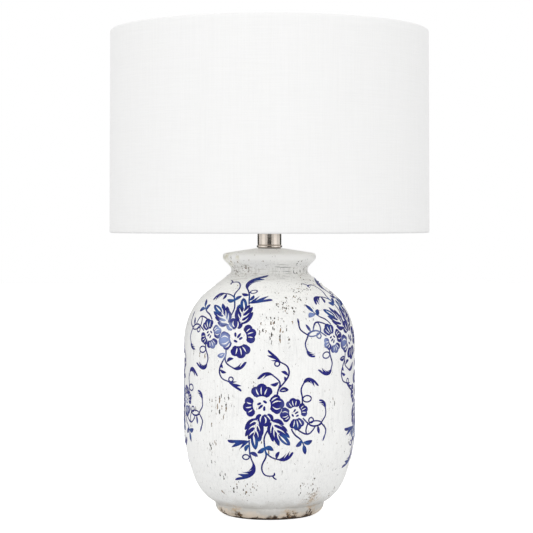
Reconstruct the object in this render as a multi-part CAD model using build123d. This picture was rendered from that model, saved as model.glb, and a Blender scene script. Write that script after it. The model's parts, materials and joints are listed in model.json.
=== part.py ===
"""Ceramic table lamp: a glazed jar on a foot ring, a plated neck, a keyed socket with its bulb,
a detachable harp, and a fabric drum shade that a finial holds down.

Millimetres, +Z up. The origin is on the table, under the middle of the foot. The harp stands in
the YZ plane, the switch knob points along +X, and the cord outlet is at the back, along +Y.
"""

import math
import os

from build123d import *

# Felt pad under the foot
PAD_THICKNESS = 1.5
PAD_INSET = 3.0

# Jar, outer form: its radii, how far each corner stands above the one below it, and the roundings
FOOT_RADIUS = 54.5
FOOT_EDGE_ROUND = 1.2
FOOT_BULGE = 5.7
FOOT_BULGE_RISE = 4.6
FOOT_BULGE_ROUND = 9.0
CREASE_STEP = 0.8
CREASE_RISE = 7.4
UNDERSIDE_INSET = 18.2
UNDERSIDE_RISE = 9.8
UNDERSIDE_ROUND = 52.0
BELLY_RADIUS = 96.2
BELLY_RISE = 48.4
BELLY_ROUND = 180.0
SHOULDER_INSET = 1.2
SHOULDER_RISE = 156.8
SHOULDER_ROUND = 72.0
THROAT_RADIUS = 39.6
THROAT_RISE = 43.0
THROAT_ROUND = 6.0
LIP_OVERHANG = 12.4
LIP_RISE = 13.0
LIP_UNDER_ROUND = 5.0
LIP_THICKNESS = 6.0
LIP_TOP_ROUND = 3.8
SEAT_RADIUS = 16.0
SEAT_RISE = 5.6
SEAT_ROUND = 12.0

# Jar, inside
JAR_WALL = 6.5
JAR_FLOOR = 8.0
FOOT_RING_WIDTH = 7.5
RECESS_DEPTH = 17.5
RECESS_ROUND = 3.0

# Cord outlet in the back of the foot ring
CORD_BORE_RADIUS = 3.2
CORD_BORE_HEIGHT = 6.5
GROMMET_WALL = 1.0
GROMMET_RIM = 0.8
GROMMET_PROUD = 1.2
GROMMET_TAIL = 1.5

# Threaded rod and what it clamps under the jar's floor
ROD_RADIUS = 5.0
ROD_BORE_RADIUS = 3.5
ROD_TAIL = 3.0
CUSHION_RADIUS = 18.0
CUSHION_THICKNESS = 1.5
WASHER_RADIUS = 17.0
WASHER_THICKNESS = 1.6
NUT_ACROSS_FLATS = 15.0
NUT_THICKNESS = 5.0
NUT_CHAMFER = 0.8

# Plated neck
GASKET_RADIUS = 12.6
GASKET_THICKNESS = 0.8
RING_RADIUS = 14.2
RING_HEIGHT = 4.2
RING_BEAD_HEIGHT = 2.9
RING_GROOVE = 0.5
NECK_RADIUS = 13.4
NECK_HEIGHT = 26.5
NECK_WALL = 1.0
NECK_TOP_ROUND = 1.2
SPIGOT_HEIGHT = 3.0

# Harp saddle
SADDLE_WIDTH = 13.0
SADDLE_THICKNESS = 1.6
SADDLE_BEND = 4.0
SADDLE_RISE = 11.5
SADDLE_TIP_WIDTH = 6.4
PIN_LENGTH = 11.0

# Harp
HARP_HEIGHT = 190.5
HARP_LEG_SPAN = 54.0
HARP_WIDTH = 114.0
HARP_WIRE_RADIUS = 1.6
HARP_LEAN = 25.0
HARP_BEND = 60.0
HARP_ARCH = 50.0
HARP_SIDE_RUN = 1.0
EYE_RADIUS = 6.5
EYE_THICKNESS = 3.2
FERRULE_LENGTH = 15.0
FERRULE_WALL = 1.0
FERRULE_BEAD = 0.5
FERRULE_BEAD_HEIGHT = 2.4

# Swivel stud in the harp's eye
STUD_RADIUS = 3.15
STUD_LENGTH = 8.5
STUD_TIP_ROUND = 0.6
STUD_SHANK_RADIUS = 2.95
STUD_FLANGE_RADIUS = 7.5
STUD_FLANGE_THICKNESS = 2.0
RIVET_RADIUS = 4.6
RIVET_THICKNESS = 1.6
RIVET_ROUND = 1.1

# Socket
CAP_HUB_RADIUS = 8.5
CAP_HUB_HEIGHT = 10.0
CAP_FLARE_HEIGHT = 5.0
CAP_HEIGHT = 23.0
CAP_SKIRT = 7.0
CAP_WALL = 0.8
CAP_ROUND = 4.0
CAP_HUB_ROUND = 1.6
SET_SCREW_RADIUS = 1.5
SET_SCREW_HEAD_RADIUS = 1.9
SET_SCREW_HEAD = 1.4
SET_SCREW_SLOT = 0.6
SHELL_RADIUS = 16.5
SHELL_WALL = 0.5
SHELL_HEIGHT = 50.0
SHELL_LAP = 6.0
SHELL_BEAD = 0.7
SLEEVE_WALL = 0.7
SLEEVE_SHORT = 2.0
BODY_LIFT = 3.0
BODY_HEIGHT = 21.5
BODY_FLAT = 12.4
TERMINAL_RADIUS = 3.0
TERMINAL_HEAD = 1.6
TERMINAL_SHANK_RADIUS = 1.5
TERMINAL_SHANK = 5.0
SCREW_SHELL_WALL = 0.5
SCREW_SHELL_HEIGHT = 21.0
SCREW_SHELL_HOLE = 7.0
LEAF_WIDTH = 6.0
LEAF_LENGTH = 10.0
LEAF_RISE = 3.2
LEAF_THICKNESS = 0.5
LEAF_FOOT = 2.0
LEAF_CROWN = 3.0
LEAF_BEND = 1.0

# Switch key
KEY_HEIGHT = 10.5
STEM_RADIUS = 1.9
STEM_DEPTH = 11.0
STEM_HOLE_RADIUS = 3.2
KNOB_STANDOFF = 6.0
KNOB_LENGTH = 15.0
KNOB_RADIUS = 6.0
KNOB_NECK_RADIUS = 4.2
KNOB_TIP_RADIUS = 5.2
KNOB_NECK_LENGTH = 3.0
KNOB_SHOULDER_LENGTH = 1.5
KNOB_EDGE_ROUND = 0.5
KNOB_TIP_ROUND = 1.2
KNOB_FLUTES = 12
FLUTE_RADIUS = 0.8
FLUTE_DEPTH = 0.4
STEM_GRIP = 10.0

# Bulb
BULB_CAP_RADIUS = 13.0
BULB_CAP_WALL = 0.4
BULB_CAP_HEIGHT = 21.0
BULB_CAP_ROUND = 0.5
BULB_TIP_RADIUS = 4.8
BULB_TIP_HEIGHT = 1.6
BULB_TIP_FLAT = 2.9
BULB_TIP_EDGE = 0.6
INSULATOR_HEIGHT = 3.6
INSULATOR_RADIUS = 11.0
INSULATOR_MARGIN = 0.6
GLASS_RADIUS = 30.0
GLASS_HEIGHT = 84.0
GLASS_NECK_LENGTH = 8.0
GLASS_NECK_ROUND = 45.0
GLASS_SHOULDER_DROP = 37.5
GLASS_SHOULDER_ROUND = 60.0
GLASS_WALL = 1.0
GLASS_SEATED = 8.0

# Shade
SHADE_RADIUS = 177.0
SHADE_FLARE = 1.2
SHADE_HEIGHT = 224.0
FABRIC_THICKNESS = 0.6
LINER_THICKNESS = 0.5
RING_WIRE_RADIUS = 1.4
HEM_DEPTH = 10.0
HEM_EASE = 0.3
SPIDER_DROP = 19.3
HUB_RADIUS = 11.0
HUB_THICKNESS = 2.2
ARM_COUNT = 3
ARM_WIRE_RADIUS = 1.5
ARM_FLAT_RUN = 55.0
ARM_RIM_RUN = 26.0
ARM_BEND = 60.0

# Finial
BUSH_RADIUS = 4.2
BUSH_HEIGHT = 7.0
FINIAL_FOOT_RADIUS = 8.4
FINIAL_FOOT_HEIGHT = 3.0
FINIAL_WAIST_RADIUS = 5.6
FINIAL_WAIST_HEIGHT = 9.0
FINIAL_BALL_RADIUS = 8.6
FINIAL_HEIGHT = 26.0
FINIAL_EDGE_ROUND = 0.8
FINIAL_WAIST_ROUND = 3.0

# Clearances
FREE_FIT = 0.3       # a hole that something passes through
CLOSE_FIT = 0.05     # a running or screwed fit, or a sleeve in its seat

# Levels, from the table up
JAR_BASE = PAD_THICKNESS
FLOOR_UNDER = JAR_BASE + RECESS_DEPTH
FOOT_BULGE_LEVEL = JAR_BASE + FOOT_BULGE_RISE
CREASE_LEVEL = FOOT_BULGE_LEVEL + CREASE_RISE
UNDERSIDE_LEVEL = CREASE_LEVEL + UNDERSIDE_RISE
BELLY_LEVEL = UNDERSIDE_LEVEL + BELLY_RISE
SHOULDER_LEVEL = BELLY_LEVEL + SHOULDER_RISE
THROAT_LEVEL = SHOULDER_LEVEL + THROAT_RISE
LIP_UNDER_LEVEL = THROAT_LEVEL + LIP_RISE
LIP_TOP_LEVEL = LIP_UNDER_LEVEL + LIP_THICKNESS
JAR_TOP = LIP_TOP_LEVEL + SEAT_RISE
RING_BASE = JAR_TOP + GASKET_THICKNESS
NECK_BASE = RING_BASE + RING_HEIGHT
SADDLE_BASE = NECK_BASE + NECK_HEIGHT
CAP_BASE = SADDLE_BASE + SADDLE_THICKNESS
PIN_BASE = SADDLE_BASE + SADDLE_RISE
PIN_TOP = PIN_BASE + PIN_LENGTH
SPIDER_SEAT = SADDLE_BASE + HARP_HEIGHT
EYE_TOP = SPIDER_SEAT - STUD_FLANGE_THICKNESS - FREE_FIT
EYE_MIDDLE = EYE_TOP - EYE_THICKNESS / 2
HUB_TOP = SPIDER_SEAT + HUB_THICKNESS
SHADE_TOP = SPIDER_SEAT + SPIDER_DROP
SHADE_BASE = SHADE_TOP - SHADE_HEIGHT
CAP_TOP = CAP_BASE + CAP_HEIGHT
SHELL_BASE = CAP_TOP - SHELL_LAP
SHELL_TOP = SHELL_BASE + SHELL_HEIGHT
BODY_BASE = SHELL_BASE + BODY_LIFT
BODY_TOP = BODY_BASE + BODY_HEIGHT
KEY_LEVEL = BODY_BASE + KEY_HEIGHT
LEAF_BASE = BODY_TOP + SCREW_SHELL_WALL
BULB_TIP_LEVEL = LEAF_BASE + LEAF_RISE + FREE_FIT
INSULATOR_BASE = BULB_TIP_LEVEL + BULB_TIP_HEIGHT
BULB_CAP_BASE = INSULATOR_BASE + INSULATOR_HEIGHT
BULB_CAP_TOP = BULB_CAP_BASE + BULB_CAP_HEIGHT

# Radii and places that several pieces share
FOOT_BULGE_RADIUS = FOOT_RADIUS + FOOT_BULGE
CREASE_RADIUS = FOOT_BULGE_RADIUS + CREASE_STEP
LIP_RADIUS = THROAT_RADIUS + LIP_OVERHANG
RECESS_RADIUS = FOOT_RADIUS - FOOT_RING_WIDTH
ROD_HOLE_RADIUS = ROD_RADIUS + FREE_FIT
LEG_Y = HARP_LEG_SPAN / 2
GROMMET_RADIUS = CORD_BORE_RADIUS + GROMMET_WALL
GROMMET_FACE = CREASE_RADIUS + GROMMET_PROUD
CORD_LEVEL = JAR_BASE + CORD_BORE_HEIGHT
SLEEVE_RADIUS = SHELL_RADIUS - SHELL_WALL - CLOSE_FIT
SOCKET_BODY_RADIUS = SLEEVE_RADIUS - SLEEVE_WALL - FREE_FIT
SCREW_SHELL_RADIUS = BULB_CAP_RADIUS + FREE_FIT + SCREW_SHELL_WALL
ROLL_INNER = RING_WIRE_RADIUS + HEM_EASE
ROLL_OUTER = ROLL_INNER + FABRIC_THICKNESS
TOP_ROLL = (SHADE_RADIUS - ROLL_OUTER, SHADE_TOP - ROLL_OUTER)
BASE_ROLL = (SHADE_RADIUS + SHADE_FLARE - ROLL_OUTER, SHADE_BASE + ROLL_OUTER)


def outline(corners, closed=True):
    """Line through (x, y, rounding) corners. A rounding too large for its sides is cut to fit."""
    count = len(corners)
    points = [Vector(x, y) for x, y, _ in corners]
    ends = range(count) if closed else range(1, count - 1)
    reach = [0.0] * count
    for i in ends:
        before = points[i] - points[i - 1]
        after = points[(i + 1) % count] - points[i]
        turn = math.radians(before.get_angle(after))
        reach[i] = corners[i][2] * math.tan(turn / 2)
    share = [1.0] * count
    for i in range(count if closed else count - 1):
        j = (i + 1) % count
        used = reach[i] + reach[j]
        side = 0.98 * (points[j] - points[i]).length
        if used > side:
            share[i] = min(share[i], side / used)
            share[j] = min(share[j], side / used)
    rounds = [corners[i][2] * share[i] for i in ends]
    return FilletPolyline(*points, radius=rounds, close=closed)


def turned(corners):
    """Solid of revolution about Z from closed (radius, height, rounding) corners."""
    return revolve(Plane.XZ * make_face(outline(corners)), Axis.Z)


def ring(inner, outer, low, high):
    """Plain ring about Z."""
    return turned([(inner, low, 0), (outer, low, 0), (outer, high, 0), (inner, high, 0)])


def rod_along(axis_plane, radius, start, end):
    """Round bar along a plane's normal, from one distance to another."""
    return axis_plane.offset(start) * Cylinder(
        radius, end - start, align=(Align.CENTER, Align.CENTER, Align.MIN)
    )


# Felt pad and jar


def base_pad():
    return ring(0, FOOT_RADIUS - PAD_INSET, 0, PAD_THICKNESS)


def jar_section():
    """Half section of the jar's outer form, from its base on the axis up to the neck seat."""
    return make_face(
        outline(
            [
                (0, JAR_BASE, 0),
                (FOOT_RADIUS, JAR_BASE, FOOT_EDGE_ROUND),
                (FOOT_BULGE_RADIUS, FOOT_BULGE_LEVEL, FOOT_BULGE_ROUND),
                (CREASE_RADIUS, CREASE_LEVEL, 0),
                (BELLY_RADIUS - UNDERSIDE_INSET, UNDERSIDE_LEVEL, UNDERSIDE_ROUND),
                (BELLY_RADIUS, BELLY_LEVEL, BELLY_ROUND),
                (BELLY_RADIUS - SHOULDER_INSET, SHOULDER_LEVEL, SHOULDER_ROUND),
                (THROAT_RADIUS, THROAT_LEVEL, THROAT_ROUND),
                (LIP_RADIUS, LIP_UNDER_LEVEL, LIP_UNDER_ROUND),
                (LIP_RADIUS, LIP_TOP_LEVEL, LIP_TOP_ROUND),
                (SEAT_RADIUS, JAR_TOP, SEAT_ROUND),
                (0, JAR_TOP, 0),
            ]
        )
    )


def jar_blank():
    return revolve(Plane.XZ * jar_section(), Axis.Z)


def jar_cavity():
    """The hollow: the outer form taken in by the wall, closed over the axis and cut off at the floor."""
    floor = FLOOR_UNDER + JAR_FLOOR
    ceiling = JAR_TOP - JAR_WALL
    inside = offset(jar_section(), amount=-JAR_WALL, kind=Kind.INTERSECTION)
    inside += Pos(0, floor) * Rectangle(2 * JAR_WALL, ceiling - floor, align=(Align.MIN, Align.MIN))
    inside &= Pos(0, floor) * Rectangle(BELLY_RADIUS, ceiling - floor, align=(Align.MIN, Align.MIN))
    return revolve(Plane.XZ * inside, Axis.Z)


def foot_recess():
    return turned(
        [
            (0, JAR_BASE, 0),
            (RECESS_RADIUS, JAR_BASE, 0),
            (RECESS_RADIUS, FLOOR_UNDER, RECESS_ROUND),
            (0, FLOOR_UNDER, 0),
        ]
    )


def cord_plane():
    return Plane(origin=(0, 0, CORD_LEVEL), x_dir=(1, 0, 0), z_dir=(0, 1, 0))


def ceramic_jar():
    rod_hole = ring(0, ROD_HOLE_RADIUS, JAR_BASE, JAR_TOP)
    cord_hole = rod_along(cord_plane(), GROMMET_RADIUS + CLOSE_FIT, 0, CREASE_RADIUS)
    return jar_blank() - jar_cavity() - foot_recess() - rod_hole - cord_hole


def cord_grommet():
    """Moulded sleeve through the foot ring, with an outer rim that follows the foot's curve."""
    plane = cord_plane()
    rim = rod_along(plane, GROMMET_RADIUS + GROMMET_RIM, RECESS_RADIUS, GROMMET_FACE) - jar_blank()
    sleeve = rod_along(plane, GROMMET_RADIUS, RECESS_RADIUS - GROMMET_TAIL, GROMMET_FACE)
    return rim + sleeve - rod_along(plane, CORD_BORE_RADIUS, 0, GROMMET_FACE)


# Rod and its clamping stack


def cushion_base():
    return FLOOR_UNDER - CUSHION_THICKNESS


def washer_base():
    return cushion_base() - WASHER_THICKNESS


def nut_base():
    return washer_base() - NUT_THICKNESS


def threaded_rod():
    return ring(ROD_BORE_RADIUS, ROD_RADIUS, nut_base() - ROD_TAIL, CAP_BASE + CAP_HUB_HEIGHT)


def cushion_washer():
    return ring(ROD_HOLE_RADIUS, CUSHION_RADIUS, cushion_base(), FLOOR_UNDER)


def steel_washer():
    return ring(ROD_HOLE_RADIUS, WASHER_RADIUS, washer_base(), cushion_base())


def clamp_nut():
    """Hex nut, chamfered at its lower corners."""
    flats = RegularPolygon(NUT_ACROSS_FLATS / 2, 6, major_radius=False)
    blank = extrude(Pos(0, 0, nut_base()) * flats, NUT_THICKNESS)
    corner = NUT_ACROSS_FLATS / math.sqrt(3)
    cone = turned(
        [
            (0, nut_base(), 0),
            (corner - NUT_CHAMFER, nut_base(), 0),
            (corner, nut_base() + NUT_CHAMFER, 0),
            (corner, washer_base(), 0),
            (0, washer_base(), 0),
        ]
    )
    return (blank & cone) - ring(0, ROD_RADIUS + CLOSE_FIT, nut_base(), washer_base())


# Plated neck


def neck_gasket():
    return ring(ROD_HOLE_RADIUS, GASKET_RADIUS, JAR_TOP, RING_BASE)


def spigot_radius():
    return NECK_RADIUS - NECK_WALL - CLOSE_FIT


def neck_ring():
    """Beaded foot of the neck, with a spigot that centres the tube."""
    groove = RING_BASE + RING_BEAD_HEIGHT
    return turned(
        [
            (ROD_HOLE_RADIUS, RING_BASE, 0),
            (RING_RADIUS - RING_GROOVE, RING_BASE, 0),
            (RING_RADIUS, RING_BASE + RING_GROOVE, RING_GROOVE),
            (RING_RADIUS, groove - RING_GROOVE, RING_GROOVE),
            (NECK_RADIUS - RING_GROOVE, groove, 0),
            (NECK_RADIUS, groove + RING_GROOVE, 0),
            (NECK_RADIUS, NECK_BASE, 0),
            (spigot_radius(), NECK_BASE, 0),
            (spigot_radius(), NECK_BASE + SPIGOT_HEIGHT, 0),
            (ROD_HOLE_RADIUS, NECK_BASE + SPIGOT_HEIGHT, 0),
        ]
    )


def neck_tube():
    """Spun cup, closed at the top where the rod passes through."""
    inner = NECK_RADIUS - NECK_WALL
    return turned(
        [
            (inner, NECK_BASE, 0),
            (NECK_RADIUS, NECK_BASE, 0),
            (NECK_RADIUS, SADDLE_BASE, NECK_TOP_ROUND),
            (ROD_HOLE_RADIUS, SADDLE_BASE, 0),
            (ROD_HOLE_RADIUS, SADDLE_BASE - NECK_WALL, 0),
            (inner, SADDLE_BASE - NECK_WALL, 0),
        ]
    )


# Harp and its saddle


def harp_saddle():
    """Bent strip with narrowed uprights, each with a round pin that the harp leg stands on."""
    half = SADDLE_THICKNESS / 2
    bottom = SADDLE_BASE + half
    centre = outline(
        [
            (-LEG_Y, PIN_BASE, 0),
            (-LEG_Y, bottom, SADDLE_BEND),
            (LEG_Y, bottom, SADDLE_BEND),
            (LEG_Y, PIN_BASE, 0),
        ],
        closed=False,
    )
    strip = extrude(Plane.YZ * trace(centre, SADDLE_THICKNESS), SADDLE_WIDTH / 2, both=True)
    shoulder = SADDLE_BASE + SADDLE_THICKNESS + SADDLE_BEND
    front = Polyline(
        (-SADDLE_WIDTH / 2, SADDLE_BASE),
        (SADDLE_WIDTH / 2, SADDLE_BASE),
        (SADDLE_WIDTH / 2, shoulder),
        (SADDLE_TIP_WIDTH / 2, PIN_BASE),
        (-SADDLE_TIP_WIDTH / 2, PIN_BASE),
        (-SADDLE_WIDTH / 2, shoulder),
        close=True,
    )
    strip &= extrude(Plane.XZ * make_face(front), HARP_LEG_SPAN, both=True)
    for y in (-LEG_Y, LEG_Y):
        strip += Pos(0, y) * ring(0, HARP_WIRE_RADIUS, PIN_BASE - half, PIN_TOP)
    return strip - ring(0, ROD_HOLE_RADIUS, SADDLE_BASE, CAP_BASE)


def harp_leg():
    """One leg, from the saddle pin up to the middle of the eye."""
    step = HARP_WIDTH / 2 - LEG_Y
    bend_reach = HARP_BEND * math.tan(math.radians(HARP_LEAN / 2))
    bow = EYE_MIDDLE - HARP_ARCH - HARP_SIDE_RUN - bend_reach
    path = outline(
        [
            (LEG_Y, PIN_TOP, 0),
            (LEG_Y, bow - step / math.tan(math.radians(HARP_LEAN)), HARP_BEND),
            (HARP_WIDTH / 2, bow, HARP_BEND),
            (HARP_WIDTH / 2, EYE_MIDDLE, HARP_ARCH),
            (EYE_RADIUS - HARP_WIRE_RADIUS, EYE_MIDDLE, 0),
        ],
        closed=False,
    )
    path = Plane.YZ * path
    return sweep(Pos(0, LEG_Y, PIN_TOP) * Circle(HARP_WIRE_RADIUS), path=path)


def harp_wire():
    """Bent wire, flattened into an eye at the top where the stud swivels."""
    leg = harp_leg()
    eye_low = EYE_TOP - EYE_THICKNESS
    eye = ring(0, EYE_RADIUS, eye_low, EYE_TOP)
    hole = ring(0, STUD_SHANK_RADIUS + CLOSE_FIT, eye_low, EYE_TOP)
    return leg + mirror(leg, about=Plane.XZ) + eye - hole


def ferrule(y):
    """Locking sleeve over the joint of harp leg and saddle pin, beaded at its lower edge."""
    inner = HARP_WIRE_RADIUS + FREE_FIT
    outer = inner + FERRULE_WALL
    bead_top = PIN_BASE + FERRULE_BEAD_HEIGHT
    sleeve = turned(
        [
            (inner, PIN_BASE, 0),
            (outer + FERRULE_BEAD, PIN_BASE, FERRULE_BEAD),
            (outer + FERRULE_BEAD, bead_top, FERRULE_BEAD),
            (outer, bead_top, 0),
            (outer, PIN_BASE + FERRULE_LENGTH, FERRULE_BEAD),
            (inner, PIN_BASE + FERRULE_LENGTH, 0),
        ]
    )
    return Pos(0, y) * sleeve


def swivel_stud():
    """Riveted stud: head under the eye, shank through it, flange and threaded end above."""
    rivet_top = EYE_TOP - EYE_THICKNESS - FREE_FIT
    flange_base = SPIDER_SEAT - STUD_FLANGE_THICKNESS
    return turned(
        [
            (0, rivet_top - RIVET_THICKNESS, 0),
            (RIVET_RADIUS, rivet_top - RIVET_THICKNESS, RIVET_ROUND),
            (RIVET_RADIUS, rivet_top, 0),
            (STUD_SHANK_RADIUS, rivet_top, 0),
            (STUD_SHANK_RADIUS, flange_base, 0),
            (STUD_FLANGE_RADIUS, flange_base, 0),
            (STUD_FLANGE_RADIUS, SPIDER_SEAT, 0),
            (STUD_RADIUS, SPIDER_SEAT, 0),
            (STUD_RADIUS, SPIDER_SEAT + STUD_LENGTH, STUD_TIP_ROUND),
            (0, SPIDER_SEAT + STUD_LENGTH, 0),
        ]
    )


# Socket


def set_screw_level():
    return CAP_BASE + SET_SCREW_HEAD_RADIUS + CLOSE_FIT


def set_screw_plane():
    return Plane(origin=(0, 0, set_screw_level()), x_dir=(0, 1, 0), z_dir=(-1, 0, 0))


def socket_cap():
    """Spun cap on a threaded hub, flaring out to the skirt that holds the shell."""
    outer = SHELL_RADIUS + CLOSE_FIT + CAP_WALL
    hub_top = CAP_BASE + CAP_HUB_HEIGHT
    flare = CAP_BASE + CAP_FLARE_HEIGHT
    skirt = CAP_TOP - CAP_SKIRT
    cap = turned(
        [
            (ROD_RADIUS + CLOSE_FIT, CAP_BASE, 0),
            (CAP_HUB_RADIUS, CAP_BASE, 0),
            (CAP_HUB_RADIUS, flare, CAP_HUB_ROUND),
            (outer, skirt, CAP_ROUND),
            (outer, CAP_TOP, 0),
            (outer - CAP_WALL, CAP_TOP, 0),
            (outer - CAP_WALL, skirt, CAP_ROUND - CAP_WALL),
            (CAP_HUB_RADIUS - CAP_WALL, flare + CAP_WALL, 0),
            (CAP_HUB_RADIUS - CAP_WALL, hub_top, 0),
            (ROD_RADIUS + CLOSE_FIT, hub_top, 0),
        ]
    )
    return cap - rod_along(set_screw_plane(), SET_SCREW_RADIUS + CLOSE_FIT, 0, CAP_HUB_RADIUS)


def cap_set_screw():
    plane = set_screw_plane()
    head_top = CAP_HUB_RADIUS + SET_SCREW_HEAD
    screw = rod_along(plane, SET_SCREW_RADIUS, ROD_RADIUS + CLOSE_FIT, CAP_HUB_RADIUS)
    screw += rod_along(plane, SET_SCREW_HEAD_RADIUS, CAP_HUB_RADIUS, head_top)
    slot = plane.offset(head_top) * Box(2 * SET_SCREW_HEAD_RADIUS, SET_SCREW_SLOT, SET_SCREW_HEAD)
    return screw - slot


def key_plane():
    return Plane(origin=(0, 0, KEY_LEVEL), x_dir=(0, 1, 0), z_dir=(1, 0, 0))


def key_hole():
    return rod_along(key_plane(), STEM_HOLE_RADIUS, 0, SHELL_RADIUS)


def socket_shell():
    """Drawn tube with a rolled bead at its mouth and the hole for the switch stem."""
    inner = SHELL_RADIUS - SHELL_WALL
    bead_base = SHELL_TOP - 2 * SHELL_BEAD
    shell = turned(
        [
            (inner, SHELL_BASE, 0),
            (SHELL_RADIUS, SHELL_BASE, 0),
            (SHELL_RADIUS, bead_base, 0),
            (SHELL_RADIUS + SHELL_BEAD, bead_base, SHELL_BEAD),
            (SHELL_RADIUS + SHELL_BEAD, SHELL_TOP, SHELL_BEAD),
            (inner, SHELL_TOP, 0),
        ]
    )
    return shell - key_hole()


def insulating_sleeve():
    sleeve = ring(SLEEVE_RADIUS - SLEEVE_WALL, SLEEVE_RADIUS, BODY_BASE, SHELL_TOP - SLEEVE_SHORT)
    return sleeve - key_hole()


def switch_body():
    """Moulded block with two flats for the terminals and the bore that the stem turns in."""
    block = ring(0, SOCKET_BODY_RADIUS, BODY_BASE, BODY_TOP)
    width = 2 * SOCKET_BODY_RADIUS
    block &= Pos(0, 0, (BODY_BASE + BODY_TOP) / 2) * Box(width, 2 * BODY_FLAT, BODY_HEIGHT)
    block -= rod_along(
        key_plane(), STEM_RADIUS + CLOSE_FIT, SOCKET_BODY_RADIUS - STEM_DEPTH - FREE_FIT, SOCKET_BODY_RADIUS
    )
    for side in (-1, 1):
        block -= rod_along(
            terminal_plane(side), TERMINAL_SHANK_RADIUS + CLOSE_FIT, BODY_FLAT - TERMINAL_SHANK, BODY_FLAT
        )
    return block


def terminal_plane(side):
    level = (BODY_BASE + BODY_TOP) / 2
    return Plane(origin=(0, 0, level), x_dir=(1, 0, 0), z_dir=(0, side, 0))


def terminal_screws():
    """The two binding screws, one on each flat of the switch body."""
    screws = []
    for side in (-1, 1):
        plane = terminal_plane(side)
        shank = rod_along(plane, TERMINAL_SHANK_RADIUS, BODY_FLAT - TERMINAL_SHANK, BODY_FLAT)
        screws.append(shank + rod_along(plane, TERMINAL_RADIUS, BODY_FLAT, BODY_FLAT + TERMINAL_HEAD))
    return Compound(children=screws)


def screw_shell():
    """Threaded cup that the bulb's cap turns into, open over the centre contact."""
    inner = SCREW_SHELL_RADIUS - SCREW_SHELL_WALL
    return turned(
        [
            (SCREW_SHELL_HOLE, BODY_TOP, 0),
            (SCREW_SHELL_RADIUS, BODY_TOP, 0),
            (SCREW_SHELL_RADIUS, BODY_TOP + SCREW_SHELL_HEIGHT, 0),
            (inner, BODY_TOP + SCREW_SHELL_HEIGHT, 0),
            (inner, LEAF_BASE, 0),
            (SCREW_SHELL_HOLE, LEAF_BASE, 0),
        ]
    )


def centre_contact():
    """Arched spring leaf with two feet on the switch body."""
    end = LEAF_LENGTH / 2
    knee = end - LEAF_FOOT
    foot_level = BODY_TOP + LEAF_THICKNESS / 2
    crown_level = LEAF_BASE + LEAF_RISE - LEAF_THICKNESS / 2
    middle = outline(
        [
            (-end, foot_level, 0),
            (-knee, foot_level, LEAF_BEND),
            (-LEAF_CROWN / 2, crown_level, LEAF_BEND),
            (LEAF_CROWN / 2, crown_level, LEAF_BEND),
            (knee, foot_level, LEAF_BEND),
            (end, foot_level, 0),
        ],
        closed=False,
    )
    return extrude(Plane.XZ * trace(middle, LEAF_THICKNESS), LEAF_WIDTH / 2, both=True)


# Switch key


def knob_base():
    return SHELL_RADIUS + KNOB_STANDOFF


def switch_stem():
    return rod_along(
        key_plane(), STEM_RADIUS, SOCKET_BODY_RADIUS - STEM_DEPTH, knob_base() + STEM_GRIP
    )


def switch_knob():
    """Fluted turn knob with a narrow neck and a blind bore for the stem."""
    end = knob_base() + KNOB_LENGTH
    neck_end = knob_base() + KNOB_NECK_LENGTH
    grip_base = neck_end + KNOB_SHOULDER_LENGTH
    knob = turned(
        [
            (0, knob_base(), 0),
            (KNOB_NECK_RADIUS, knob_base(), KNOB_EDGE_ROUND),
            (KNOB_NECK_RADIUS, neck_end, 0),
            (KNOB_RADIUS, grip_base, KNOB_EDGE_ROUND),
            (KNOB_TIP_RADIUS, end, KNOB_TIP_ROUND),
            (0, end, 0),
        ]
    )
    for place in PolarLocations(KNOB_RADIUS + FLUTE_RADIUS - FLUTE_DEPTH, KNOB_FLUTES):
        knob -= place * ring(0, FLUTE_RADIUS, grip_base, end)
    knob -= ring(0, STEM_RADIUS + CLOSE_FIT, knob_base(), knob_base() + STEM_GRIP + FREE_FIT)
    return key_plane() * knob


# Bulb


def bulb_contact():
    return turned(
        [
            (0, BULB_TIP_LEVEL, 0),
            (BULB_TIP_FLAT, BULB_TIP_LEVEL, 0),
            (BULB_TIP_RADIUS, INSULATOR_BASE - BULB_TIP_EDGE, BULB_TIP_EDGE),
            (BULB_TIP_RADIUS, INSULATOR_BASE, 0),
            (0, INSULATOR_BASE, 0),
        ]
    )


def bulb_insulator():
    return turned(
        [
            (0, INSULATOR_BASE, 0),
            (BULB_TIP_RADIUS + INSULATOR_MARGIN, INSULATOR_BASE, 0),
            (INSULATOR_RADIUS, BULB_CAP_BASE, 0),
            (0, BULB_CAP_BASE, 0),
        ]
    )


def bulb_cap():
    """Screw cap: a cup that stands on the insulator and takes the glass neck."""
    inner = BULB_CAP_RADIUS - BULB_CAP_WALL
    return turned(
        [
            (0, BULB_CAP_BASE, 0),
            (INSULATOR_RADIUS, BULB_CAP_BASE, 0),
            (BULB_CAP_RADIUS, BULB_CAP_BASE + BULB_CAP_RADIUS - INSULATOR_RADIUS, BULB_CAP_ROUND),
            (BULB_CAP_RADIUS, BULB_CAP_TOP, 0),
            (inner, BULB_CAP_TOP, 0),
            (inner, BULB_CAP_BASE + BULB_CAP_RADIUS - INSULATOR_RADIUS + BULB_CAP_WALL, 0),
            (INSULATOR_RADIUS - BULB_CAP_WALL, BULB_CAP_BASE + BULB_CAP_WALL, 0),
            (0, BULB_CAP_BASE + BULB_CAP_WALL, 0),
        ]
    )


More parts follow.
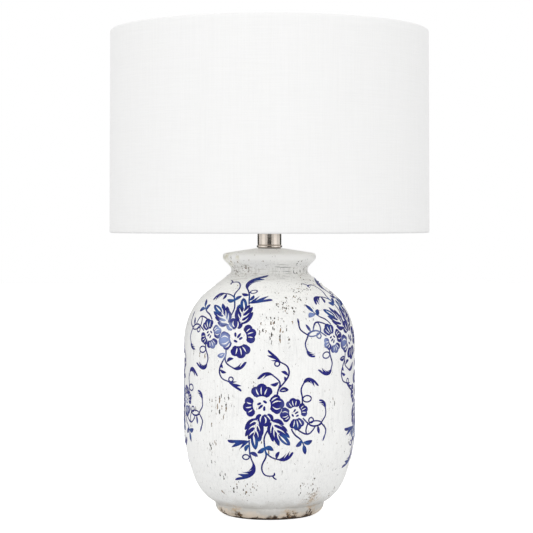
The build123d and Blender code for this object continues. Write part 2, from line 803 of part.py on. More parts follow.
def glass_section(wall):
    """Half section of the envelope, taken in by a wall."""
    neck = BULB_CAP_RADIUS - BULB_CAP_WALL - CLOSE_FIT - wall
    top = BULB_CAP_TOP + GLASS_HEIGHT
    globe = GLASS_RADIUS - wall
    corners = [
        (0, BULB_CAP_TOP - GLASS_SEATED, 0),
        (neck, BULB_CAP_TOP - GLASS_SEATED, 0),
        (neck, BULB_CAP_TOP + GLASS_NECK_LENGTH, GLASS_NECK_ROUND),
        (globe, top - GLASS_SHOULDER_DROP, GLASS_SHOULDER_ROUND),
        (globe, top - wall, globe),
        (0, top - wall, 0),
    ]
    return make_face(outline(corners))


def bulb_glass():
    outer = revolve(Plane.XZ * glass_section(0), Axis.Z)
    return outer - revolve(Plane.XZ * glass_section(GLASS_WALL), Axis.Z)


# Shade


def hem_points(roll, down):
    """Where the fabric leaves its roll round a ring wire, and where it ends on the liner.

    down is -1 for the top hem, which runs down from its ring, and 1 for the bottom hem.
    Gives the leaving angle and the two liner-side points.
    """
    x, z = roll
    end_level = z + down * HEM_DEPTH
    liner_face = liner_radius(end_level) - LINER_THICKNESS - CLOSE_FIT
    end = Vector(liner_face, end_level)
    reach = math.hypot(liner_face - x, HEM_DEPTH)
    away = math.atan2(HEM_DEPTH, liner_face - x) + math.acos(ROLL_INNER / reach)
    side = Vector(math.cos(away), down * math.sin(away))
    return side, end


def hem_edges(roll, down):
    """Edges of one rolled hem, from the outer skin round the wire to the liner and back."""
    x, z = roll
    centre = Vector(x, z)
    side, end = hem_points(roll, down)
    skin = Vector(1, 0)
    over = Vector(0, -down)
    lip = end + side * FABRIC_THICKNESS
    edges = [
        Line(centre + side * ROLL_OUTER, lip),
        Line(lip, end),
        Line(end, centre + side * ROLL_INNER),
    ]
    for roll_radius in (ROLL_OUTER, ROLL_INNER):
        places = [centre + direction * roll_radius for direction in (skin, over, side)]
        edges.append(ThreePointArc(*places))
    return edges


def shade_fabric():
    """One thin skin, rolled inwards round both rings, with slits where the spider arms come through."""
    edges = hem_edges(TOP_ROLL, -1) + hem_edges(BASE_ROLL, 1)
    for offset_out in (ROLL_OUTER, ROLL_INNER):
        low = (BASE_ROLL[0] + offset_out, BASE_ROLL[1])
        high = (TOP_ROLL[0] + offset_out, TOP_ROLL[1])
        edges.append(Line(low, high))
    skin = revolve(Plane.XZ * make_face(edges), Axis.Z)
    return skin - arms(ARM_WIRE_RADIUS + FREE_FIT)


def liner_radius(level):
    """Outer radius of the liner at a level, just inside the fabric."""
    share = (level - BASE_ROLL[1]) / (TOP_ROLL[1] - BASE_ROLL[1])
    roll = BASE_ROLL[0] + share * (TOP_ROLL[0] - BASE_ROLL[0])
    return roll + ROLL_INNER - CLOSE_FIT


def shade_liner():
    """Stiff translucent sheet between the two rings."""
    low = BASE_ROLL[1] + ROLL_OUTER
    high = TOP_ROLL[1] - ROLL_OUTER
    return turned(
        [
            (liner_radius(low) - LINER_THICKNESS, low, 0),
            (liner_radius(low), low, 0),
            (liner_radius(high), high, 0),
            (liner_radius(high) - LINER_THICKNESS, high, 0),
        ]
    )


def shade_ring(roll):
    x, z = roll
    return Pos(0, 0, z) * Torus(x, RING_WIRE_RADIUS)


def spider_hub():
    return ring(STUD_RADIUS + FREE_FIT, HUB_RADIUS, SPIDER_SEAT, HUB_TOP)


def arms(radius):
    """The bent arms, from the hub's rim out and up to the top ring."""
    level = SPIDER_SEAT + HUB_THICKNESS / 2
    rim, rim_level = TOP_ROLL
    reach = rim - RING_WIRE_RADIUS - CLOSE_FIT
    path = outline(
        [
            (HUB_RADIUS, level, 0),
            (ARM_FLAT_RUN, level, ARM_BEND),
            (reach - ARM_RIM_RUN, rim_level, ARM_BEND),
            (reach, rim_level, 0),
        ],
        closed=False,
    )
    path = Plane.XZ * path
    section = Plane(origin=path @ 0, x_dir=(0, 1, 0), z_dir=path % 0) * Circle(radius)
    arm = sweep(section, path=path)
    turn = 360 / ARM_COUNT
    return Compound(children=[Rot(0, 0, 90 + turn * i) * arm for i in range(ARM_COUNT)])


def spider_arms():
    return arms(ARM_WIRE_RADIUS)


# Finial


def finial_bush():
    return ring(STUD_RADIUS + CLOSE_FIT, BUSH_RADIUS, HUB_TOP, HUB_TOP + BUSH_HEIGHT)


def finial_knob():
    """Turned knob: round foot, waist and ball, bored from below for its bush and the stud."""
    foot_top = HUB_TOP + FINIAL_FOOT_HEIGHT
    ball = HUB_TOP + FINIAL_HEIGHT - FINIAL_BALL_RADIUS
    knob = turned(
        [
            (0, HUB_TOP, 0),
            (FINIAL_FOOT_RADIUS, HUB_TOP, FINIAL_EDGE_ROUND),
            (FINIAL_FOOT_RADIUS, foot_top, FINIAL_EDGE_ROUND),
            (FINIAL_WAIST_RADIUS, HUB_TOP + FINIAL_WAIST_HEIGHT, FINIAL_WAIST_ROUND),
            (FINIAL_WAIST_RADIUS, ball, 0),
            (0, ball, 0),
        ]
    )
    knob += Pos(0, 0, ball) * Sphere(FINIAL_BALL_RADIUS)
    knob -= ring(0, BUSH_RADIUS + CLOSE_FIT, HUB_TOP, HUB_TOP + BUSH_HEIGHT + CLOSE_FIT)
    stud_room = SPIDER_SEAT + STUD_LENGTH + FREE_FIT
    return knob - ring(0, STUD_RADIUS + FREE_FIT, HUB_TOP, stud_room)


PIECES = {
    "base_pad": base_pad,
    "ceramic_jar": ceramic_jar,
    "cord_grommet": cord_grommet,
    "threaded_rod": threaded_rod,
    "cushion_washer": cushion_washer,
    "steel_washer": steel_washer,
    "clamp_nut": clamp_nut,
    "neck_gasket": neck_gasket,
    "neck_ring": neck_ring,
    "neck_tube": neck_tube,
    "harp_saddle": harp_saddle,
    "harp_wire": harp_wire,
    "front_ferrule": lambda: ferrule(-LEG_Y),
    "rear_ferrule": lambda: ferrule(LEG_Y),
    "swivel_stud": swivel_stud,
    "socket_cap": socket_cap,
    "cap_set_screw": cap_set_screw,
    "socket_shell": socket_shell,
    "insulating_sleeve": insulating_sleeve,
    "switch_body": switch_body,
    "terminal_screws": terminal_screws,
    "screw_shell": screw_shell,
    "centre_contact": centre_contact,
    "switch_stem": switch_stem,
    "switch_knob": switch_knob,
    "bulb_contact": bulb_contact,
    "bulb_insulator": bulb_insulator,
    "bulb_cap": bulb_cap,
    "bulb_glass": bulb_glass,
    "shade_fabric": shade_fabric,
    "shade_liner": shade_liner,
    "shade_top_ring": lambda: shade_ring(TOP_ROLL),
    "shade_bottom_ring": lambda: shade_ring(BASE_ROLL),
    "spider_hub": spider_hub,
    "spider_arms": spider_arms,
    "finial_bush": finial_bush,
    "finial_knob": finial_knob,
}


def main():
    os.makedirs("parts", exist_ok=True)
    for name, make in PIECES.items():
        export_step(make(), f"parts/{name}.step")


main()
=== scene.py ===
import json
import math
from functools import partial

import bmesh
import bpy
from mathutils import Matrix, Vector, geometry, noise


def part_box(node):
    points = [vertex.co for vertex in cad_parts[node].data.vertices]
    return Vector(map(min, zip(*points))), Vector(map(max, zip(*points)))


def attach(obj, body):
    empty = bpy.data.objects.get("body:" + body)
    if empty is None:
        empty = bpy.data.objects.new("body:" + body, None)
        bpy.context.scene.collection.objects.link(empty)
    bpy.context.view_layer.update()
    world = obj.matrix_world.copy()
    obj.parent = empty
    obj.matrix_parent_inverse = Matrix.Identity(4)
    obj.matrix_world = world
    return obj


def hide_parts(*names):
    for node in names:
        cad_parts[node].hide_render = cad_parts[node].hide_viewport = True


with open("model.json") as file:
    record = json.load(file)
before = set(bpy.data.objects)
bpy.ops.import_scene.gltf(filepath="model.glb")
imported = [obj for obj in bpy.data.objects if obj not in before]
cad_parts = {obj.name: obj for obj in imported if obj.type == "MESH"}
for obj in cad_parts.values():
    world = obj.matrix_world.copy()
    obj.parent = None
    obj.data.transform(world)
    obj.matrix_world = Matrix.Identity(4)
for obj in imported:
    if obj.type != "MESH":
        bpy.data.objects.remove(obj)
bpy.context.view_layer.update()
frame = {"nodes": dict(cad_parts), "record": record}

nodes = frame["nodes"]
mm = 0.001
weldReach = 0.001 * mm
scene = bpy.context.scene


# Picking and modelling steps that several pieces share

def setMode(mode):
    bpy.ops.object.mode_set(mode=mode)


def selectAll():
    bpy.ops.mesh.select_all(action="SELECT")


def settle():
    if bpy.context.mode != "OBJECT":
        setMode("OBJECT")
    bpy.ops.object.select_all(action="DESELECT")


def pick(*chosen):
    settle()
    for piece in chosen:
        piece.select_set(True)
    bpy.context.view_layer.objects.active = chosen[-1]


def named(name):
    piece = bpy.context.object
    piece.name = piece.data.name = name
    return piece


def modify(piece, kind, **settings):
    pick(piece)
    bpy.ops.object.modifier_add(type=kind)
    for setting, value in settings.items():
        setattr(piece.modifiers[0], setting, value)
    bpy.ops.object.modifier_apply(modifier=piece.modifiers[0].name)


def smoothByAngle(degrees):
    bpy.ops.object.shade_smooth_by_angle(angle=math.radians(degrees))


def lathe(name, profile, steps, smoothAngle):
    # one vertex, pulled along (radius, height) points and spun about the upright axis
    settle()
    bpy.ops.mesh.primitive_plane_add(size=mm, location=(profile[0][0], 0, profile[0][1]))
    piece = named(name)
    bpy.ops.object.transform_apply(location=True)
    setMode("EDIT")
    selectAll()
    bpy.ops.mesh.merge(type="CENTER")
    for (fromRadius, fromHeight), (toRadius, toHeight) in zip(profile, profile[1:]):
        bpy.ops.mesh.extrude_region_move(
            TRANSFORM_OT_translate={"value": (toRadius - fromRadius, 0, toHeight - fromHeight)})
    selectAll()
    bpy.ops.mesh.spin(steps=steps, angle=2 * math.pi, center=(0, 0, 0), axis=(0, 0, 1))
    selectAll()
    bpy.ops.mesh.remove_doubles(threshold=weldReach)
    bpy.ops.mesh.normals_make_consistent(inside=False)
    setMode("OBJECT")
    smoothByAngle(smoothAngle)
    return piece


def smoothStep(low, high, value):
    share = min(max((value - low) / (high - low), 0), 1)
    return share * share * (3 - 2 * share)


def widthOf(place):
    return math.hypot(place.x, place.y)


def scaleRadius(corner, share):
    corner.co.x *= share
    corner.co.y *= share


# Node helpers, most of which find their node tree through the socket that feeds them

def addNode(feed, kind):
    return feed.id_data.nodes.new(kind)


def link(source, target):
    source.id_data.links.new(source, target)


def setInputs(node, values):
    for socket, value in values.items():
        node.inputs[socket].default_value = value


def grey(tone):
    return (tone, tone, tone, 1)


def startMaterial(name):
    material = bpy.data.materials.new(name)
    material.use_nodes = True
    parts = material.node_tree.nodes
    place = parts.new("ShaderNodeTexCoord").outputs["Object"]
    return material, parts["Principled BSDF"], place


def vectorMath(operation, first, second):
    node = addNode(first, "ShaderNodeVectorMath")
    node.operation = operation
    link(first, node.inputs[0])
    node.inputs[1].default_value = second
    return node


def stretched(place, factors):
    return vectorMath("MULTIPLY", place, factors).outputs[0]


def speckle(place, scale, detail=3, roughness=0.5):
    node = addNode(place, "ShaderNodeTexNoise")
    setInputs(node, {"Scale": scale, "Detail": detail, "Roughness": roughness})
    link(place, node.inputs["Vector"])
    return node.outputs["Fac"]


def cells(place, scale, feature="F1"):
    node = addNode(place, "ShaderNodeTexVoronoi")
    node.feature = feature
    setInputs(node, {"Scale": scale})
    link(place, node.inputs["Vector"])
    return node.outputs


def remap(value, fromLow, fromHigh, toLow=0, toHigh=1):
    node = addNode(value, "ShaderNodeMapRange")
    setInputs(node, {"From Min": fromLow, "From Max": fromHigh, "To Min": toLow, "To Max": toHigh})
    link(value, node.inputs["Value"])
    return node.outputs["Result"]


def combine(operation, first, second=0):
    node = addNode(first, "ShaderNodeMath")
    node.operation = operation
    link(first, node.inputs[0])
    if isinstance(second, (int, float)):
        node.inputs[1].default_value = second
    else:
        link(second, node.inputs[1])
    return node.outputs[0]


times = partial(combine, "MULTIPLY")
plus = partial(combine, "ADD")
minus = partial(combine, "SUBTRACT")


def tint(factor, base, over):
    node = addNode(factor, "ShaderNodeMix")
    node.data_type = "RGBA"
    link(factor, node.inputs["Factor"])
    for socket, value in zip((node.inputs[6], node.inputs[7]), (base, over)):
        if isinstance(value, tuple):
            socket.default_value = (*value, 1)
        else:
            link(value, socket)
    return node.outputs[2]


def axisPart(place, axis):
    node = addNode(place, "ShaderNodeSeparateXYZ")
    link(place, node.inputs[0])
    return node.outputs[axis]


def raiseSurface(shader, height, distance, strength):
    node = addNode(height, "ShaderNodeBump")
    setInputs(node, {"Distance": distance, "Strength": strength})
    link(height, node.inputs["Height"])
    link(node.outputs["Normal"], shader.inputs["Normal"])


def strengthByRay(tree, lighting, seen):
    # one strength for the light that is thrown and another for what the camera sees
    rays = tree.nodes.new("ShaderNodeLightPath").outputs["Is Camera Ray"]
    return remap(rays, 0, 1, lighting, seen)


# Camera, light and floor

cameraPlan = {"distance": 1.9, "height": 0.325, "aside": -0.0033, "tiltDown": 1.486,
              "lens": 114.8, "sensor": 36}
cameraData = bpy.data.cameras.new("camera")
cameraData.lens = cameraPlan["lens"]
cameraData.sensor_width = cameraPlan["sensor"]
camera = bpy.data.objects.new("camera", cameraData)
scene.collection.objects.link(camera)
camera.location = (cameraPlan["aside"], -cameraPlan["distance"], cameraPlan["height"])
camera.rotation_euler = (math.radians(90 - cameraPlan["tiltDown"]), 0, 0)
scene.camera = camera
scene.view_settings.view_transform = "Standard"

lightPlan = {  # place, size and power
    "keyLight": ((-0.2, -2.3, 1.2), 0.14, 9.0),
    "leftLight": ((-2.0, -1.2, 0.65), 1.4, 3.2),
    "rightLight": ((2.0, -1.2, 0.6), 1.4, 3.0),
    "rearLight": ((0.5, 2.2, 1.3), 1.6, 11),
}
lightAim = Vector((0, 0, 0.27))
for name, (spot, size, power) in lightPlan.items():
    lampData = bpy.data.lights.new(name, "AREA")
    lampData.size = size
    lampData.energy = power
    lamp = bpy.data.objects.new(name, lampData)
    scene.collection.objects.link(lamp)
    lamp.location = spot
    lamp.rotation_euler = (lightAim - lamp.location).to_track_quat("-Z", "Y").to_euler()
    lamp.visible_camera = False

worldPlan = {"lighting": 0.995, "seen": 1.0}
world = bpy.data.worlds.new("studio")
world.use_nodes = True
scene.world = world
backdrop = world.node_tree.nodes["Background"]
setInputs(backdrop, {"Color": grey(1)})
link(strengthByRay(world.node_tree, **worldPlan), backdrop.inputs["Strength"])

floorPlan = {"size": 14, "tone": 0.5, "rough": 0.9, "lighting": 0.22, "seen": 0.84}
settle()
bpy.ops.mesh.primitive_plane_add(size=floorPlan["size"])
floor = named("floor")
paper, shader = startMaterial("paper")[:2]
setInputs(shader, {"Base Color": grey(floorPlan["tone"]), "Roughness": floorPlan["rough"],
                   "Emission Color": grey(1)})
glow = strengthByRay(paper.node_tree, floorPlan["lighting"], floorPlan["seen"])
link(glow, shader.inputs["Emission Strength"])
floor.data.materials.append(paper)

# dark cards behind the camera and the lamp, which the plated neck and the glaze's edges mirror
cardPlan = {"width": 1.5, "tall": 1.3, "height": 0.35, "tone": 0.02,
            "turnAndReach": ((0, 2.2), (142, 1.7), (-142, 1.7))}
cardMaterial, shader = startMaterial("card")[:2]
setInputs(shader, {"Base Color": grey(cardPlan["tone"])})
for index, (turn, reach) in enumerate(cardPlan["turnAndReach"]):
    bearing = math.radians(turn)
    settle()
    bpy.ops.mesh.primitive_plane_add(
        size=1, rotation=(math.pi / 2, 0, bearing),
        location=(math.sin(bearing) * reach, -math.cos(bearing) * reach, cardPlan["height"]))
    card = named(f"card{index}")
    card.scale = (cardPlan["width"], cardPlan["tall"], 1)
    card.visible_camera = False
    card.visible_diffuse = False
    card.visible_shadow = False
    card.data.materials.append(cardMaterial)
print("stage set")


# The jar's outline, as the CAD has it

jarNode = nodes["ceramic_jar"]
jarBase, jarTop = (corner.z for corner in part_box("ceramic_jar"))
rayStart = 0.2


def outerRadius(height):
    hit = jarNode.ray_cast(Vector((-rayStart, 0, height)), Vector((1, 0, 0)))
    return abs(hit[1].x)


def wallPoint(angle, radius, height):
    # angles run from the front towards the right
    return (radius * math.sin(angle), -radius * math.cos(angle), height)


# Finishes

glazePlan = {
    "white": (0.90, 0.90, 0.885), "grey": (0.70, 0.705, 0.70), "line": (0.46, 0.43, 0.38),
    # dustAndShade: grey for real dust, and painted shade on the foot under the belly
    "pit": (0.030, 0.024, 0.018), "rust": (0.20, 0.11, 0.035), "dustAndShade": (0.50, 0.485, 0.45),
    "wear": (0.66, 0.61, 0.40), "clay": (0.74, 0.63, 0.51),
    # lip: a whiter glaze, painted light on the lip and the shoulder
    "burnt": (0.040, 0.020, 0.010), "tan": (0.50, 0.36, 0.22), "lip": (0.965, 0.965, 0.945),
    # heights in millimetres where a band begins, is full, fades and ends
    "litShoulderBand": (222, 248, 266, 278), "throatBand": (258, 268, 274, 283),
    # heights where a change along the wall begins and ends
    "litLipChange": (279.5, 286), "dustAndShadeChange": (11, 24), "clayChange": (5, 10), "darkBottomChange": (1.2, 3.2),
    "footWaver": 4, "glossAndDull": (0.38, 0.8),
    # turn in degrees, height and reach in millimetres of each patch
    "pitted": [(4, 214, 24), (12, 234, 15), (27, 246, 14), (38, 256, 11), (-34, 128, 20), (-40, 84, 11),
               (-20, 36, 16), (28, 40, 14), (-12, 150, 10), (44, 128, 11), (100, 215, 22), (150, 90, 24),
               (200, 190, 20), (255, 110, 22)],
    "stained": [(-58, 272, 9), (-38, 274, 9), (66, 272, 8), (36, 26, 12), (150, 273, 12), (250, 272, 10)],
    "scored": [(20, 271, 12), (150, 268, 12), (262, 269, 10)],
    "worn": [(-70, 286, 16), (-43, 286, 4), (120, 286, 12), (205, 285, 10)],
    "smeared": [(38, 22, 17), (50, 11, 17), (-40, 9, 16), (20, 9, 12), (130, 12, 20), (215, 10, 18)],
    "scorched": [(24, 3, 19), (46, 4, 17), (3, 2, 14), (-36, 5, 13), (-62, 4, 15), (-14, 1.5, 12),
                 (100, 4, 16), (165, 3, 18), (235, 5, 16)],
    "patchCore": 0.3,
}


def nearTo(place, patch):
    # how near a point of the wall is to any spot of the patch, from 0 to 1
    near = None
    for turn, height, reach in glazePlan[patch]:
        spot = wallPoint(math.radians(turn), outerRadius(height * mm), height * mm)
        gap = vectorMath("DISTANCE", place, spot).outputs["Value"]
        close = remap(gap, reach * mm, reach * glazePlan["patchCore"] * mm)
        near = combine("MAXIMUM", near, close) if near else close
    return near


def change(height, name, toLow, toHigh):
    begins, ends = glazePlan[name]
    return remap(height, begins * mm, ends * mm, toLow, toHigh)


def band(height, name):
    begins, full, fades, ends = glazePlan[name]
    return times(remap(height, begins * mm, full * mm), remap(height, fades * mm, ends * mm, 1, 0))


def slipColour(place, height, streak):
    # streaky slip with a fine crackle; painted light: the shoulder and the lip are made whiter, brightening
    # them where the shade's shadow falls
    cloud = remap(speckle(place, 30, 4), 0.42, 0.72, 0, 0.35)
    grain = remap(speckle(stretched(place, (1500, 1500, 700)), 1, 2), 0.5, 0.75, 0, 0.4)
    tone = plus(times(streak, plus(cloud, 0.55)), grain)
    white = tint(band(height, "litShoulderBand"), glazePlan["white"], glazePlan["lip"])
    colour = tint(plus(tone, times(cloud, 0.3)), white, glazePlan["grey"])
    crack = remap(cells(place, 190, "DISTANCE_TO_EDGE")["Distance"], 0, 0.03, 0.3, 0)
    colour = tint(times(crack, remap(speckle(place, 40), 0.45, 0.6)), colour, glazePlan["line"])
    return tint(change(height, "litLipChange", 0, 0.9), colour, glazePlan["lip"])


pitPlan = {"wander": (2.6 * mm, 2.6 * mm, 5 * mm), "ripples": 420, "upright": (1, 1, 0.2), "tears": 540,
           "dots": 820, "patchChance": 0.72, "strayChance": 0.20, "tearWidth": (0.16, 0.48)}


def makePits(place):
    # short upright tears in the glaze, thick in the patches and rare elsewhere, and a few pricks
    ripple = addNode(place, "ShaderNodeTexNoise")
    setInputs(ripple, {"Scale": pitPlan["ripples"]})
    link(place, ripple.inputs["Vector"])
    wander = vectorMath("MULTIPLY_ADD", ripple.outputs["Color"], pitPlan["wander"])
    link(place, wander.inputs[2])
    upright = stretched(wander.outputs[0], pitPlan["upright"])
    tears = cells(upright, pitPlan["tears"])
    stray = remap(speckle(place, 21, 2), 0.5, 0.72, 0, pitPlan["strayChance"])
    chance = plus(times(nearTo(place, "pitted"), pitPlan["patchChance"]), stray)
    chosen = remap(plus(axisPart(tears["Color"], "X"), chance), 1, 1.04)
    wide = remap(axisPart(tears["Color"], "Y"), 0, 1, *pitPlan["tearWidth"])
    torn = times(chosen, remap(minus(tears["Distance"], wide), -0.06, 0.05, 1, 0))
    dots = cells(upright, pitPlan["dots"])
    few = remap(axisPart(dots["Color"], "X"), 0.90, 0.93)
    pricked = times(few, remap(dots["Distance"], 0.16, 0.30, 0.8, 0))
    rusty = remap(axisPart(tears["Color"], "Z"), 0.55, 0.9)
    return combine("MAXIMUM", torn, pricked), tint(rusty, glazePlan["pit"], glazePlan["rust"])


def markThroat(place, height, streak, colour):
    # greyer round the throat in vertical streaks, turning rings and a few deeper score marks
    throat = band(height, "throatBand")
    colour = tint(times(throat, remap(streak, 0, 0.6, 0.05, 0.4)), colour, glazePlan["dustAndShade"])
    rings = speckle(stretched(place, (46, 46, 760)), 1, 3)
    colour = tint(times(throat, remap(rings, 0.60, 0.68, 0, 0.7)), colour, glazePlan["line"])
    score = times(nearTo(place, "scored"), remap(rings, 0.52, 0.58, 0, 0.9))
    return tint(score, colour, glazePlan["pit"])


def markPatches(place, fleck, colour):
    # brown specks, and wear on the lip
    speck = tint(speckle(place, 300), glazePlan["pit"], glazePlan["rust"])
    colour = tint(times(nearTo(place, "stained"), fleck), colour, speck)
    wear = times(nearTo(place, "worn"), remap(speckle(place, 130, 4), 0.42, 0.62, 0, 0.75))
    return tint(wear, colour, glazePlan["wear"])


def markFoot(place, height, colour):
    # dust and painted shade, darker towards the foot under the belly, then bare clay, then tan smears
    waver = glazePlan["footWaver"] * mm
    wavering = plus(height, remap(speckle(place, 60, 4, 0.6), 0.3, 0.7, -waver, waver))
    colour = tint(change(wavering, "dustAndShadeChange", 0.85, 0), colour, glazePlan["dustAndShade"])
    colour = tint(change(wavering, "clayChange", 0.9, 0), colour, glazePlan["clay"])
    smear = times(nearTo(place, "smeared"), remap(speckle(place, 120, 5, 0.7), 0.46, 0.62, 0, 0.85))
    return tint(smear, colour, glazePlan["tan"])


def makeGlaze():
    material, shader, place = startMaterial("glaze")
    height = axisPart(place, "Z")
    streak = remap(speckle(stretched(place, (520, 520, 46)), 1, 4, 0.62), 0.48, 0.74, 0, 0.75)
    fleck = remap(speckle(stretched(place, (340, 340, 400)), 1, 4, 0.6), 0.53, 0.59)
    pit, pitColour = makePits(place)
    colour = tint(pit, slipColour(place, height, streak), pitColour)
    colour = markThroat(place, height, streak, colour)
    colour = markPatches(place, fleck, colour)
    colour = markFoot(place, height, colour)
    # darker brown along the bottom edge, and scorched patches on the foot
    scorchAndDarkEdge = plus(nearTo(place, "scorched"), change(height, "darkBottomChange", 0.9, 0))
    scorchAndDarkEdge = remap(times(scorchAndDarkEdge, speckle(place, 240, 5, 0.7)), 0.40, 0.52)
    colour = tint(scorchAndDarkEdge, colour, tint(fleck, glazePlan["burnt"], glazePlan["rust"]))
    link(colour, shader.inputs["Base Color"])
    broken = combine("MAXIMUM", pit, scorchAndDarkEdge)
    link(remap(broken, 0, 1, *glazePlan["glossAndDull"]), shader.inputs["Roughness"])
    lumps = remap(speckle(place, 85, 2), 0, 1, 0, 0.6)
    raiseSurface(shader, minus(minus(lumps, pit), times(streak, 0.3)), 0.3 * mm, 0.6)
    return material


inkPlan = {"cobalt": (0.008, 0.009, 0.185), "deep": (0.006, 0.007, 0.095), "wash": (0.26, 0.33, 0.58),
           "teal": (0.018, 0.095, 0.30)}


def makeInk():
    material, shader, place = startMaterial("ink")
    amounts = {}
    for name in ("wash", "teal"):
        stored = addNode(place, "ShaderNodeAttribute")
        stored.attribute_name = name
        amounts[name] = stored.outputs["Fac"]
    brush = speckle(place, 210, 4)
    colour = tint(remap(brush, 0.45, 0.65, 0, 0.7), inkPlan["cobalt"], inkPlan["deep"])
    patchy = remap(speckle(place, 150, 3), 0.35, 0.6, 0.35, 1)
    colour = tint(times(amounts["teal"], patchy), colour, inkPlan["teal"])
    faded = plus(amounts["wash"], remap(speckle(place, 48, 3), 0.55, 0.85, 0, 0.3))
    link(tint(faded, colour, inkPlan["wash"]), shader.inputs["Base Color"])
    setInputs(shader, {"Roughness": 0.42, "Specular IOR Level": 0.25})
    raiseSurface(shader, brush, 0.2 * mm, 0.4)
    return material


clothPlan = {"threads": 1500, "pick": 0.74 * mm, "white": (0.84, 0.84, 0.837), "shade": (0.785, 0.785, 0.78)}


def makeCloth():
    material, shader, place = startMaterial("cloth")
    turn = combine("ARCTAN2", axisPart(place, "X"), axisPart(place, "Y"))
    warp = combine("SINE", times(turn, clothPlan["threads"] / 2))
    weft = combine("SINE", times(axisPart(place, "Z"), math.pi / clothPlan["pick"]))
    across = speckle(stretched(place, (30, 30, 1400)), 1, 3)
    along = speckle(stretched(place, (900, 900, 18)), 1, 3)
    slub = plus(across, along)
    colour = tint(remap(slub, 0.8, 1.3, 0, 0.5), clothPlan["white"], clothPlan["shade"])
    link(colour, shader.inputs["Base Color"])
    setInputs(shader, {"Roughness": 0.92, "Specular IOR Level": 0.2, "Sheen Weight": 0.15})
    raiseSurface(shader, plus(times(times(warp, weft), 0.35), slub), 0.2 * mm, 0.35)
    return material


def makeMetal(name, bright, dull, rough, grain):
    # grain is how the fine scratches are drawn out along x, y and z
    material, shader, place = startMaterial(name)
    scratch = speckle(stretched(place, grain), 1, 3)
    cloud = speckle(place, 90, 3)
    link(tint(remap(cloud, 0.35, 0.7), bright, dull), shader.inputs["Base Color"])
    link(remap(scratch, 0.3, 0.7, rough * 0.75, rough * 1.3), shader.inputs["Roughness"])
    setInputs(shader, {"Metallic": 1})
    raiseSurface(shader, scratch, 0.04 * mm, 0.35)
    return material


def makePlain(name, base, worn, rough, scale, relief=0.1 * mm):
    material, shader, place = startMaterial(name)
    cloud = speckle(place, scale, 4)
    link(tint(remap(cloud, 0.35, 0.7), base, worn), shader.inputs["Base Color"])
    link(remap(cloud, 0.3, 0.7, rough * 0.85, rough * 1.15), shader.inputs["Roughness"])
    raiseSurface(shader, cloud, relief, 0.5)
    return material


finishes = {
    "felt": makePlain("felt", (0.055, 0.05, 0.045), (0.10, 0.09, 0.08), 0.95, 1600, 0.6 * mm),
    "glazed_ceramic": makeGlaze(),
    "black_plastic": makePlain("blackPlastic", (0.012, 0.012, 0.013), (0.02, 0.02, 0.021), 0.38, 700),
    "zinc_steel": makeMetal("zincSteel", (0.60, 0.60, 0.61), (0.50, 0.50, 0.50), 0.34, (700, 700, 700)),
    "rubber": makePlain("rubber", (0.02, 0.02, 0.02), (0.035, 0.034, 0.033), 0.8, 900),
    "nickel": makeMetal("nickel", (0.66, 0.60, 0.54), (0.58, 0.52, 0.46), 0.15, (60, 60, 2600)),
    "brass": makeMetal("brass", (0.72, 0.53, 0.24), (0.60, 0.42, 0.18), 0.28, (300, 300, 2600)),
    "bulb_alloy": makeMetal("bulbAlloy", (0.75, 0.75, 0.76), (0.66, 0.66, 0.67), 0.24, (120, 120, 3000)),
    "fibre": makePlain("fibre", (0.34, 0.22, 0.12), (0.26, 0.16, 0.08), 0.85, 1200),
    "bulb_glass": makePlain("bulbGlass", (0.86, 0.86, 0.84), (0.82, 0.82, 0.80), 0.3, 60, 0.02 * mm),
    "black_glass": makePlain("blackGlass", (0.012, 0.012, 0.014), (0.02, 0.02, 0.022), 0.15, 200),
    "shade_fabric": makeCloth(),
    "liner": makePlain("liner", (0.86, 0.85, 0.82), (0.81, 0.80, 0.77), 0.55, 160),
    "white_steel": makePlain("whiteSteel", (0.80, 0.80, 0.78), (0.74, 0.74, 0.72), 0.4, 300),
}
ink = makeInk()
for part in frame["record"]["subparts"]:
    mesh = nodes[part["node"]].data
    mesh.materials.clear()
    mesh.materials.append(finishes[part["material_slot"]])
print("finishes made")


def finishPiece(piece, body, slot, *stoodFor, material=None):
    piece.data.materials.clear()
    piece.data.materials.append(material or finishes[slot])
    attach(piece, body)
    if stoodFor:
        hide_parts(*stoodFor)


# Jar: turned from the CAD outline, then left a little uneven, as a thrown pot is

jarPlan = {
    "steps": 240, "smooth": 50, "margin": 0.02 * mm, "fineStep": 0.55 * mm, "plainStep": 2.4 * mm,
    "footBand": 30 * mm, "lipBand": 36 * mm, "boreRadius": 5.3 * mm, "seatRadius": 16 * mm,
    "recessRadius": 47 * mm, "recessTop": 19 * mm, "recessRound": 3 * mm, "footWall": 2 * mm,
    "lump": 0.45 * mm, "lumpsAround": 1.3, "lumpsUp": 11, "ridge": 0.07 * mm, "ridgePitch": 8.5 * mm,
    "ridgeDrift": 2, "driftGrain": 0.7, "calmFoot": 4 * mm, "calmLip": (2 * mm, 9 * mm),
    "chip": 0.9 * mm, "chipZone": (16 * mm, 11 * mm), "chipEdge": (0.3, 0.62),
    "chipGrain": 95, "chipFineGrain": 260, "chipFineShare": 0.5,
    "outletRadius": 4.25 * mm, "outletHeight": 8 * mm, "outletBack": 55 * mm, "drillLength": 40 * mm,
    "drillCorners": 48, "sliver": 0.005 * mm,
}

